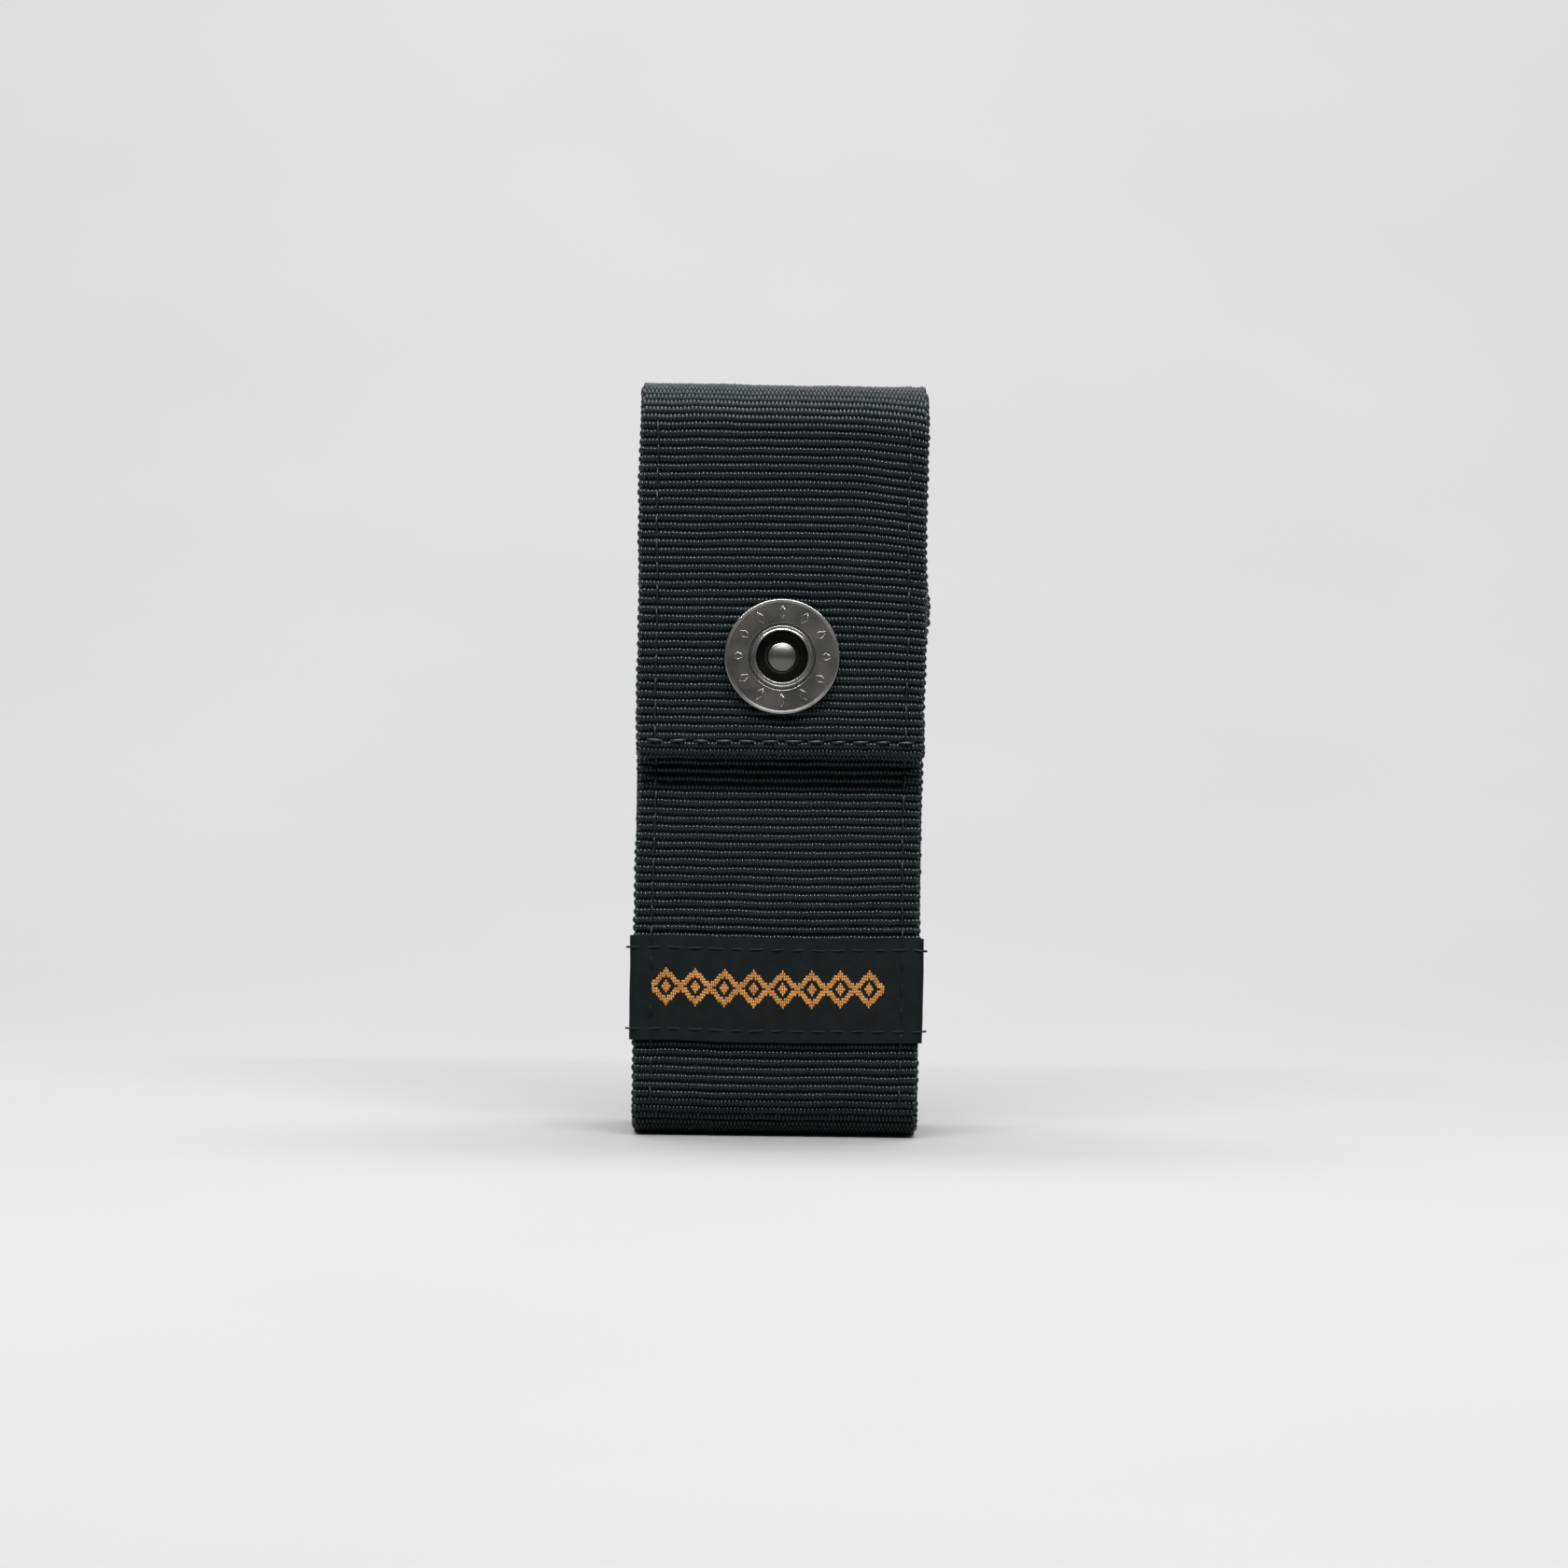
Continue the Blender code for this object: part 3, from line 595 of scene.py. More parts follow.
def cloth_sheet(name, places, outs, across, half_width, tops, thick, material, columns=24):
    """A closed sheet along places. Its outer face lies inside the path by tops, its inner by thick."""
    work = bmesh.new()
    across = np.array(across)
    rings = []
    for place, outwards, top in zip(places, outs, tops):
        ring = []
        for inset, order in ((top, 1), (thick, -1)):
            middle = np.array(place) - np.array(outwards) * inset
            for column in range(columns + 1)[::order]:
                ring.append(work.verts.new(middle + across * half_width * (2 * column / columns - 1)))
        rings.append(ring)
    for ring, following in zip(rings, rings[1:]):
        for i in range(len(ring)):
            j = (i + 1) % len(ring)
            work.faces.new((ring[i], ring[j], following[j], following[i]))
    for ring in (rings[0], rings[-1]):
        for i in range(columns):
            j = len(ring) - 1 - i
            work.faces.new((ring[i], ring[i + 1], ring[j - 1], ring[j]))
    return piece_from(work, name, material, CLOTH_CREASE)


# %% The humped ground under the beads
HUMP_TOP = 0.00034
HUMP_DEPTH = 0.00042
GROUND_STEPS = 4


def ribbed_ground(name, line, first_row, rows, pitch, half_width, thick):
    """The dark body under a stretch of webbing, humped under each rib."""
    places, outs, tops = [], [], []
    for step in range(rows * GROUND_STEPS + 1):
        distance = (first_row + step / GROUND_STEPS) * pitch
        places.append((0.0, *line.at(distance)))
        outs.append((0.0, *line.outward(distance)))
        hump = abs(math.sin(math.pi * step / GROUND_STEPS))
        tops.append(HUMP_TOP + HUMP_DEPTH * (1 - hump))
    return cloth_sheet(name, places, outs, ALONG_X, half_width, tops, thick, weft)


# %% Weave one stretch of a strap
CREST_LENGTH = 1.04
CREST_WIDTH = 1.14
CREST_HEIGHT = 0.00115
CREST_LEAN = math.radians(9)
KNUCKLE_WIDTH = 0.0011
KNUCKLE_LENGTH = 1.02
RIB_WANDER = 0.00038
NO_HOLE = (0.0, 0.0, -1.0)


def woven_stretch(name, line, first_row, rows, pitch, half_width, thick=STRAP_THICK,
                  hole=NO_HOLE, hole_radius=0.0):
    """The beads and the ground of one stretch of webbing: (beads, ground)."""
    distances = [(first_row + half / 2) * pitch for half in range(2 * rows + 1)]
    places = [(0.0, *(line.at(d) - line.outward(d) * CREST_HEIGHT / 2)) for d in distances]
    beads = grown(line_object(name + "_weave", places), weave_tree, {
        "First Row": first_row,
        "Across": ALONG_X,
        "Width": 2 * half_width - KNUCKLE_WIDTH,
        "Yarns": round(2 * half_width / YARN_PITCH),
        "Crest Width": YARN_PITCH * CREST_WIDTH,
        "Crest Length": pitch * CREST_LENGTH,
        "Crest Height": CREST_HEIGHT,
        "Lean": CREST_LEAN,
        "Knuckle": (KNUCKLE_WIDTH, thick, pitch * KNUCKLE_LENGTH),
        "Wander": RIB_WANDER,
        "Hole Centre": hole,
        "Hole Radius": hole_radius,
        "Seed": first_row,
        "Finish": webbing,
    })
    ground = ribbed_ground(name + "_ground", line, first_row, rows, pitch,
                           half_width - KNUCKLE_WIDTH / 2, thick)
    print(f"{name}: {rows} ribs, {len(beads.data.polygons)} bead faces")
    return beads, ground


# %% [markdown]
# ## The strap in six stretches
#
# The pouch's front, bottom and back don't move. The strap bends over each fold of the flap as the flap
# opens, so the stretch over each fold is a piece of its own. The piece down the flap's front carries the
# snap's ring, so it has a hole in it.

# %% Where the strap is divided
BOTTOM_CUT = 0.0125
BACK_CUT = HEIGHT - 0.0200
FRONT_CUT = HEIGHT - 0.0160
TUBE_HOLE = 0.0050
cuts = [
    ("pouch_front", strap.nearest(FRONT, BOTTOM_CUT)),
    ("pouch_bottom", strap.nearest(BACK, BOTTOM_CUT)),
    ("pouch_back", strap.nearest(BACK, BACK_CUT)),
    ("back_fold", strap.nearest((FLAP + BACK) / 2, HEIGHT)),
    ("front_fold", strap.nearest(FLAP, FRONT_CUT)),
    ("flap", strap.length),
]
snap_axis = (0.0, FLAP, SNAP_Z)

stretches = {}
row_from = 0
for stretch_name, distance in cuts:
    row_to = round(distance / row_pitch)
    radius = TUBE_HOLE if stretch_name == "flap" else 0.0
    stretches[stretch_name] = woven_stretch(
        stretch_name, strap, row_from, row_to - row_from, row_pitch, HALF_WIDTH,
        hole=snap_axis, hole_radius=radius)
    row_from = row_to

# %% [markdown]
# ## The belt loop
#
# The loop is narrower webbing sewn on at its two ends, with room for a belt between. Its line leaves the
# back in a smooth ramp at each end. The same weave follows it.

# %% Weave the belt loop
LOOP_THICK = 0.0014
LOOP_SEWN = 0.0070
LOOP_RAMP = 0.0060
loop_out = loop_high.y
loop_face = loop_low.y + LOOP_THICK


def ramp(z_from, z_to, y_from, y_to, count=10):
    """Points of a smooth step from one face to another."""
    shares = [i / count for i in range(count + 1)]
    return [(y_from + (y_to - y_from) * s * s * (3 - 2 * s), z_from + (z_to - z_from) * s) for s in shares]


sewn_top = loop_high.z - LOOP_SEWN
sewn_bottom = loop_low.z + LOOP_SEWN
loop_points = [(loop_face, loop_low.z)]
loop_points += ramp(sewn_bottom, sewn_bottom + LOOP_RAMP, loop_face, loop_out)
loop_points += ramp(sewn_top - LOOP_RAMP, sewn_top, loop_out, loop_face)
loop_points += [(loop_face, loop_high.z)]
loop_line = Line(loop_points)
loop_rows = round(loop_line.length / RIB_PITCH)
loop_pieces = woven_stretch(
    "belt_loop", loop_line, 0, loop_rows, loop_line.length / loop_rows, loop_high.x, LOOP_THICK)

# %% [markdown]
# ## Linings
#
# The flap and the upper back have a thin plain cloth behind the webbing, caught in the edge seams. It
# follows the strap's own line, further in, and is divided where the strap is.

# %% Line the flap and the upper back
LINING_TOP = STRAP_THICK + LAYER_GAP
LINING_THICK = 0.0007
LINING_STEP = 0.0009
HEM_CLEARANCE = 0.0003


def lined(name, start, end):
    """A stretch of lining between two distances along the strap's line."""
    count = max(4, round((end - start) / LINING_STEP))
    distances = [start + (end - start) * i / count for i in range(count + 1)]
    places = [(0.0, *strap.at(d)) for d in distances]
    outs = [(0.0, *strap.outward(d)) for d in distances]
    return cloth_sheet(name, places, outs, ALONG_X, HALF_WIDTH - LAYER_GAP,
                       [LINING_TOP] * len(places), LINING_TOP + LINING_THICK, lining)


snapped = {name: round(distance / row_pitch) * row_pitch for name, distance in cuts}
lining_ends = [
    ("back_lining", strap.nearest(BACK, MOUTH + LAYER_GAP), snapped["pouch_back"]),
    ("back_fold_lining", snapped["pouch_back"], snapped["back_fold"]),
    ("front_fold_lining", snapped["back_fold"], snapped["front_fold"]),
    ("flap_lining", snapped["front_fold"], strap.nearest(FLAP, FLAP_END + HEM_LENGTH + HEM_CLEARANCE)),
]
linings = {name: lined("plain_" + name, start, end) for name, start, end in lining_ends}
print("linings:", ", ".join(linings))

# %% [markdown]
# ## Holes for the snap
#
# The snap's tube goes through the flap and its lining, and the stud's post through the pouch's front. The
# beads round the tube's hole were left out when the strap was woven. The ground and the lining are cut
# here with a Boolean, since one clean round hole is all they need.

# %% Cut the snap's holes
DRILL_DEPTH = 0.008
DRILL_SIDES = 48
POST_HOLE = 0.0015


def drilled(obj, centre, radius):
    """Cuts a round hole along Y through a closed sheet."""
    mesh = bpy.data.meshes.new("drill")
    work = bmesh.new()
    bmesh.ops.create_cone(work, cap_ends=True, segments=DRILL_SIDES, radius1=radius, radius2=radius,
                          depth=DRILL_DEPTH)
    bmesh.ops.rotate(work, verts=work.verts, matrix=Matrix.Rotation(math.pi / 2, 3, "X"))
    bmesh.ops.translate(work, verts=work.verts, vec=centre)
    work.to_mesh(mesh)
    work.free()
    drill = in_scene("drill", mesh)
    modifier = obj.modifiers.new("hole", "BOOLEAN")
    modifier.operation = "DIFFERENCE"
    modifier.object = drill
    cut = plain_mesh(obj)
    obj.modifiers.remove(modifier)
    obj.data = cut
    bpy.data.objects.remove(drill, do_unlink=True)


for piece in (stretches["flap"][1], linings["flap_lining"]):
    drilled(piece, (0.0, FLAP + 0.001, SNAP_Z), TUBE_HOLE - LAYER_GAP)
drilled(stretches["pouch_front"][1], (0.0, FRONT, SNAP_Z), POST_HOLE)
print("snap holes cut")

# %% [markdown]
# ## Elastic sides
#
# Each side is a broad elastic band, sewn in under the strap's two edges and under the bottom. Its margins
# lie flat against the strap, so a band follows the strap's line inside it, and a web closes the side. The
# elastic's cords run up and down, drawn here by the same weave with narrow, long crests.

# %% Sew in the elastic
ELASTIC_THICK = 0.0010
CORD_PITCH = 0.00095
PICK_PITCH = 0.0011
CORD_HEIGHT = 0.0006
CORD_KNUCKLE = 0.0004
CORD_WANDER = 0.0001
CORD_SEED = 3
MARGIN_STEPS = 180
WEB_OUT = SEAM_X
WEB_IN = SEAM_X - ELASTIC_THICK
GUSSET_TOP = gusset_high.z
side_front = FRONT + LINING_TOP
side_back = BACK - LINING_TOP


def web_outline():
    """The side's outline in (y, z), with the strap's bottom curve and a step round the hem."""
    radius = BOTTOM_RADIUS - LINING_TOP
    hem_y = FRONT + 2 * HEM_RADIUS + LAYER_GAP
    hem_z = MOUTH - HEM_LENGTH - HEM_CLEARANCE
    outline = [(hem_y, GUSSET_TOP), (hem_y, hem_z), (side_front, hem_z)]
    outline += arc((FRONT + BOTTOM_RADIUS, BOTTOM_RADIUS), radius, 180, 270)
    outline += arc((BACK - BOTTOM_RADIUS, BOTTOM_RADIUS), radius, 270, 360)
    return outline + [(side_back, GUSSET_TOP)]


def flat_solid(name, outline, x_from, x_to, material):
    """A closed plate of a (y, z) outline between two places along X."""
    work = bmesh.new()
    face = work.faces.new([work.verts.new((x_from, y, z)) for y, z in outline])
    grown_face = bmesh.ops.extrude_face_region(work, geom=[face])
    moved = [item for item in grown_face["geom"] if isinstance(item, bmesh.types.BMVert)]
    bmesh.ops.translate(work, verts=moved, vec=(x_to - x_from, 0.0, 0.0))
    return piece_from(work, name, material)


margin_from = strap.nearest(FRONT, MOUTH - HEM_LENGTH - 0.0005)
margin_to = strap.nearest(BACK, GUSSET_TOP)
margin_steps = [margin_from + (margin_to - margin_from) * i / MARGIN_STEPS for i in range(MARGIN_STEPS + 1)]
gussets = {}
for side, side_name in ((-1, "left"), (1, "right")):
    web = flat_solid("side_web_" + side_name, web_outline(), side * WEB_IN, side * WEB_OUT, elastic)
    margin_x = side * (WEB_OUT + HALF_WIDTH - LAYER_GAP) / 2
    margin = cloth_sheet(
        "side_margin_" + side_name,
        [(margin_x, *strap.at(d)) for d in margin_steps],
        [(0.0, *strap.outward(d)) for d in margin_steps],
        ALONG_X, (HALF_WIDTH - LAYER_GAP - WEB_OUT) / 2,
        [LINING_TOP] * len(margin_steps), LINING_TOP + ELASTIC_THICK, elastic, columns=6)
    low, high = BOTTOM_RADIUS, GUSSET_TOP
    crest_x = side * (WEB_OUT + 0.0001)
    picks = round((high - low) / PICK_PITCH)
    heights = [low + (high - low) * half / (2 * picks) for half in range(2 * picks + 1)]
    climb = [(crest_x, (side_front + side_back) / 2, z) for z in heights[::-side]]
    span = side_back - side_front - 2 * ELASTIC_THICK - 2 * HEM_RADIUS
    cords = grown(line_object("side_cords_" + side_name, climb), weave_tree, {
        "First Row": 0,
        "Across": (0.0, 1.0, 0.0),
        "Width": span,
        "Yarns": round(span / CORD_PITCH),
        "Crest Width": CORD_PITCH * 1.30,
        "Crest Length": PICK_PITCH * 1.35,
        "Crest Height": CORD_HEIGHT,
        "Lean": 0.0,
        "Knuckle": (CORD_KNUCKLE, CORD_KNUCKLE, PICK_PITCH),
        "Wander": CORD_WANDER,
        "Hole Centre": NO_HOLE,
        "Hole Radius": 0.0,
        "Seed": CORD_SEED,
        "Finish": elastic,
    })
    gussets[side_name] = (web, margin, cords)
    print(f"{side_name} side: {picks} picks, {len(cords.data.polygons)} faces")

# %% [markdown]
# ## The woven label
#
# A satin ribbon runs across the pouch, its ends turned round the strap's edges. Its pattern is brocaded:
# amber yarn floats over the ribbon only where the pattern needs it. A tree lays a fine grid of floats
# and keeps those that fall on a trellis of lozenges, so the pattern stands in real relief.

# %% The ribbon
RIBBON_FACE = label_low.y
RIBBON_HALF = label_high.x - 0.0004
RIBBON_CORNER = 0.0009
RIBBON_THICK = 0.0005
CORNER_STEPS = 6
FACE_STEPS = 60
label_mid = (label_low.z + label_high.z) / 2
label_half = (label_high.z - label_low.z) / 2


def ribbon_path():
    """(x, y, outward x, outward y) along the ribbon's outer face, from its left end to its right end."""
    side_end = FRONT + STRAP_THICK
    turn = [math.radians(90 * i / CORNER_STEPS) for i in range(CORNER_STEPS + 1)]
    left = [(-RIBBON_HALF, side_end, -1.0, 0.0)]
    for a in turn:
        left.append((-RIBBON_HALF + RIBBON_CORNER * (1 - math.cos(a)),
                     RIBBON_FACE + RIBBON_CORNER * (1 - math.sin(a)), -math.cos(a), -math.sin(a)))
    straight = RIBBON_HALF - RIBBON_CORNER
    middle = [(straight * (2 * i / FACE_STEPS - 1), RIBBON_FACE, 0.0, -1.0) for i in range(1, FACE_STEPS)]
    right = [(-x, y, -nx, ny) for x, y, nx, ny in left[::-1]]
    return left + middle + right


path = ribbon_path()
label = cloth_sheet(
    "satin_label",
    [(x, y, label_mid) for x, y, _, _ in path],
    [(nx, ny, 0.0) for _, _, nx, ny in path],
    (0.0, 0.0, 1.0), label_half, [0.0] * len(path), RIBBON_THICK, ribbon, columns=28)
print("label:", len(label.data.polygons), "faces")

# %% The tree that brocades
BROCADE_INPUTS = {
    "Length": "Float",
    "Height": "Float",
    "Repeat": "Float",
    "Stroke": "Float",
    "Grid X": "Float",
    "Grid Z": "Float",
    "Face": "Vector",
    "Relief": "Float",
    "Finish": "Material",
}


def build_brocade():
    tree, given = new_tree("brocade", BROCADE_INPUTS)
    put = given.outputs
    count_x = math_node(tree, "DIVIDE", put["Length"], put["Grid X"])
    count_z = math_node(tree, "DIVIDE", put["Height"], put["Grid Z"])
    grid = out(tree, "GeometryNodeMeshGrid", {
        "Size X": put["Length"], "Size Y": put["Height"],
        "Vertices X": count_x, "Vertices Y": count_z})
    place = out(tree, "GeometryNodeInputPosition")
    axes = add(tree, "ShaderNodeSeparateXYZ", {0: place}).outputs
    half_repeat = math_node(tree, "MULTIPLY", put["Repeat"], 0.5)
    from_end = math_node(tree, "MULTIPLY_ADD", put["Length"], 0.5, axes[0])
    fold = math_node(tree, "DIVIDE", math_node(tree, "PINGPONG", from_end, half_repeat), half_repeat)
    rise = math_node(tree, "ABSOLUTE", axes[1])
    half_stroke = math_node(tree, "MULTIPLY", put["Stroke"], -0.5)
    reach = math_node(tree, "MULTIPLY_ADD", put["Height"], 0.5, half_stroke)
    zigzag = math_node(tree, "MULTIPLY", fold, reach)
    off_line = math_node(tree, "ABSOLUTE", math_node(tree, "SUBTRACT", rise, zigzag))
    on_line = math_node(tree, "LESS_THAN", off_line, math_node(tree, "MULTIPLY", put["Stroke"], 0.62))
    from_middle = math_node(tree, "SUBTRACT", 1.0, fold)
    spot = math_node(tree, "ADD", from_middle, math_node(tree, "DIVIDE", rise, reach))
    on_spot = math_node(tree, "LESS_THAN", spot, 0.36)
    bare = math_node(tree, "LESS_THAN", math_node(tree, "ADD", on_line, on_spot), 0.5)
    kept = out(tree, "GeometryNodeDeleteGeometry", {"Geometry": grid, "Selection": bare})
    stand = out(tree, "ShaderNodeCombineXYZ", {0: axes[0], 2: axes[1]})
    placed = out(tree, "GeometryNodeSetPosition", {
        "Geometry": kept, "Position": vector_node(tree, "ADD", stand, put["Face"])})
    ball = out(tree, "GeometryNodeMeshUVSphere", {"Segments": 6, "Rings": 4, "Radius": 0.5})
    size = out(tree, "ShaderNodeCombineXYZ", {
        0: math_node(tree, "MULTIPLY", put["Grid X"], 1.12), 1: put["Relief"],
        2: math_node(tree, "MULTIPLY", put["Grid Z"], 1.5)})
    vary = out(tree, "FunctionNodeRandomValue", {0: (0.90, 0.75, 0.90), 1: (1.10, 1.25, 1.12)},
               data_type="FLOAT_VECTOR")
    floats = out(tree, "GeometryNodeInstanceOnPoints", {
        "Points": placed, "Instance": ball, "Scale": vector_node(tree, "MULTIPLY", size, vary)})
    close_tree(tree, floats, put["Finish"])
    return tree


MOTIF_LENGTH = 0.0360
MOTIF_HEIGHT = 0.0056
LOZENGES = 8
motif = grown(line_object("brocade_motif", [(0, 0, 0), (0, 0, 0.001)]), build_brocade(), {
    "Length": MOTIF_LENGTH,
    "Height": MOTIF_HEIGHT,
    "Repeat": MOTIF_LENGTH / LOZENGES,
    "Stroke": 0.00085,
    "Grid X": 0.000278,
    "Grid Z": 0.00037,
    "Face": (-0.0014, RIBBON_FACE, label_mid + 0.0002),
    "Relief": 0.00030,
    "Finish": amber,
})
print(f"label motif: {len(motif.data.polygons)} faces")

# %% [markdown]
# ## Stitches
#
# A machine seam is a row of short dashes, each one a bit of thread that comes up through one needle hole
# and goes down through the next. One tree makes every seam: it follows a line, and sets one arched,
# round-ended dash at each step. Each seam only needs its line, its pitch and the way that is outwards.

# %% The tree that stitches
STITCH_INPUTS = {
    "Pitch": "Float",
    "Stitch": "Float",
    "Thread Radius": "Float",
    "Rise": "Float",
    "Outward": "Vector",
    "Seed": "Int",
    "Finish": "Material",
}


def build_stitches():
    tree, given = new_tree("stitches", STITCH_INPUTS)
    put = given.outputs
    line = out(tree, "GeometryNodeMeshToCurve", {"Mesh": put["Geometry"]})
    even = out(tree, "GeometryNodeResampleCurve", {"Curve": line, "Length": put["Pitch"]},
               mode="LENGTH")
    steps = add(tree, "GeometryNodeCurveToPoints", {"Curve": even}, mode="EVALUATED").outputs
    half = math_node(tree, "MULTIPLY", put["Stitch"], 0.5)
    below = math_node(tree, "MULTIPLY", put["Rise"], -1.2)
    start = out(tree, "ShaderNodeCombineXYZ", {0: math_node(tree, "MULTIPLY", half, -1.0), 2: below})
    end = out(tree, "ShaderNodeCombineXYZ", {0: half, 2: below})
    top = out(tree, "ShaderNodeCombineXYZ", {2: math_node(tree, "MULTIPLY", put["Rise"], 2.2)})
    arch = out(tree, "GeometryNodeCurveQuadraticBezier",
               {"Resolution": 6, "Start": start, "Middle": top, "End": end})
    ring = out(tree, "GeometryNodeCurvePrimitiveCircle",
               {"Resolution": 6, "Radius": put["Thread Radius"]})
    dash = out(tree, "GeometryNodeCurveToMesh",
               {"Curve": arch, "Profile Curve": ring, "Fill Caps": True})
    turn = out(tree, "FunctionNodeAxesToRotation",
               {"Primary Axis": steps["Tangent"], "Secondary Axis": put["Outward"]},
               primary_axis="X", secondary_axis="Z")
    lean = out(tree, "FunctionNodeRandomValue",
               {0: (-0.05, -0.03, -0.09), 1: (0.05, 0.03, 0.09), "Seed": put["Seed"]},
               data_type="FLOAT_VECTOR")
    leaned = out(tree, "FunctionNodeRotateRotation", {"Rotation": turn, "Rotate By": lean},
                 rotation_space="LOCAL")
    vary = out(tree, "FunctionNodeRandomValue",
               {0: (0.86, 0.90, 0.80), 1: (1.04, 1.12, 1.15), "Seed": put["Seed"]},
               data_type="FLOAT_VECTOR")
    dashes = out(tree, "GeometryNodeInstanceOnPoints", {
        "Points": steps["Points"], "Instance": dash, "Rotation": leaned, "Scale": vary})
    close_tree(tree, dashes, put["Finish"])
    return tree


STITCH_RISE = 0.00022
STITCH_SHARE = 0.78
stitch_tree = build_stitches()


def seam(name, places, outward, pitch=STITCH_PITCH, rise=STITCH_RISE, radius=THREAD_RADIUS,
         yarn=thread, share=STITCH_SHARE):
    """A row of stitches along places."""
    return grown(line_object(name, places), stitch_tree, {
        "Pitch": pitch,
        "Stitch": pitch * share,
        "Thread Radius": radius,
        "Rise": rise,
        "Outward": outward,
        "Seed": len(name),
        "Finish": yarn,
    })


# %% Sew the seams of the strap
TOWARDS_FRONT = (0.0, -1.0, 0.0)
TOWARDS_BACK = (0.0, 1.0, 0.0)
HEM_SEAM = 0.0033
hem_row = round(strap.nearest(FLAP, FLAP_END + HEM_SEAM) / row_pitch)
FLAP_STITCH = strap.at(hem_row * row_pitch)[1]
MOUTH_STITCH = MOUTH - 0.0035
SEAM_END = 0.001
CROSSING_END = 0.0005
seams = {}
for side, side_name in ((-1, "left"), (1, "right")):
    x = side * SEAM_X
    runs = {
        "front_seam_thread_": [(x, FRONT, BOTTOM_RADIUS), (x, FRONT, label_low.z)],
        "back_seam_thread_": [(x, BACK, BOTTOM_RADIUS), (x, BACK, MOUTH)],
        "flap_edge_thread_": [(x, FLAP, FLAP_STITCH + SEAM_END), (x, FLAP, HEIGHT - FRONT_RADIUS)],
    }
    for prefix, places in runs.items():
        outward = TOWARDS_BACK if prefix.startswith("back") else TOWARDS_FRONT
        seams[prefix + side_name] = seam(prefix.replace("thread", "stitches") + side_name, places, outward)
    upper = [(x, FRONT, label_high.z), (x, FRONT, MOUTH_STITCH - SEAM_END)]
    seams["upper_" + side_name] = seam("upper_seam_stitches_" + side_name, upper, TOWARDS_FRONT)
    crossing = [(x, RIBBON_FACE, label_low.z + CROSSING_END), (x, RIBBON_FACE, label_high.z - CROSSING_END)]
    seams["crossing_" + side_name] = seam(
        "crossing_stitches_" + side_name, crossing, TOWARDS_FRONT, yarn=label_yarn)
print(len(seams), "upright seams")

# %% Sew the hems, the label and the loop
HEM_RISE = 0.00032
HEM_THREAD = 0.00023
HEM_SHARE = 0.68
LABEL_MARGIN = 0.0018
LABEL_PITCH = 0.0030
LABEL_RISE = 0.00012
LABEL_SEAM_END = 0.0006
LOOP_MARGIN = 0.0015
LOOP_STITCH_PITCH = 0.0030


def level(y, z, half):
    return [(-half, y, z), (half, y, z)]


seams["flap_hem_thread"] = seam(
    "flap_hem_stitches", level(FLAP, FLAP_STITCH, SEAM_X), TOWARDS_FRONT, rise=HEM_RISE, radius=HEM_THREAD,
    yarn=hem_yarn, share=HEM_SHARE)
seams["mouth_hem_thread"] = seam("mouth_hem_stitches", level(FRONT, MOUTH_STITCH, SEAM_X), TOWARDS_FRONT)
for edge, z in (("top", label_high.z - LABEL_MARGIN), ("bottom", label_low.z + LABEL_MARGIN)):
    seams["label_thread_" + edge] = seam(
        "label_stitches_" + edge, level(RIBBON_FACE, z, RIBBON_HALF - LABEL_SEAM_END), TOWARDS_FRONT,
        LABEL_PITCH, LABEL_RISE, yarn=label_yarn)

loop_half = loop_high.x - 0.0020
for edge, low in (("top", sewn_top), ("bottom", loop_low.z)):
    bottom, top = low + LOOP_MARGIN, low + LOOP_SEWN - LOOP_MARGIN
    box = [(-loop_half, bottom), (loop_half, bottom), (loop_half, top), (-loop_half, top)]
    box.append(box[0])
    seams["loop_thread_" + edge] = seam(
        "loop_stitches_" + edge, [(x, loop_face, z) for x, z in box], TOWARDS_BACK, LOOP_STITCH_PITCH)
print(len(seams), "seams")

# %% [markdown]
# ## The snap
#
# The flap carries an open ring with a raised rim and a small lip round its hole. The pouch carries a
# ball-headed stud that shows through the ring. Each is turned from one profile, with arcs where the real
# edge is rolled. A ring of small raised lozenges decorates the face.

# %% A helper that turns a profile
TURN_SIDES = 96
SMALL_TURN_SIDES = 64
METAL_CREASE = 16
ON_AXIS = 1e-7


def turned(name, profile, y, material, sides=TURN_SIDES):
    """A profile of (radius, height) points spun about -Y. One that touches the axis is closed there."""
    work = bmesh.new()
    poles = [radius < ON_AXIS for radius, _ in profile]
    rings = []
    for (radius, height), pole in zip(profile, poles):
        ring = []
        for i in range(1 if pole else sides):
            a = 2 * math.pi * i / sides
            ring.append(work.verts.new((radius * math.cos(a), y - height, SNAP_Z + radius * math.sin(a))))
        rings.append(ring)
    pairs = list(zip(rings, rings[1:]))
    if not any(poles):
        pairs.append((rings[-1], rings[0]))
    for first, second in pairs:
        for i in range(sides):
            j = (i + 1) % sides
            corners = [first[i % len(first)], first[j % len(first)]]
            corners += [second[j % len(second)], second[i % len(second)]]
            work.faces.new(list(dict.fromkeys(corners)))
    return piece_from(work, name, material, METAL_CREASE)


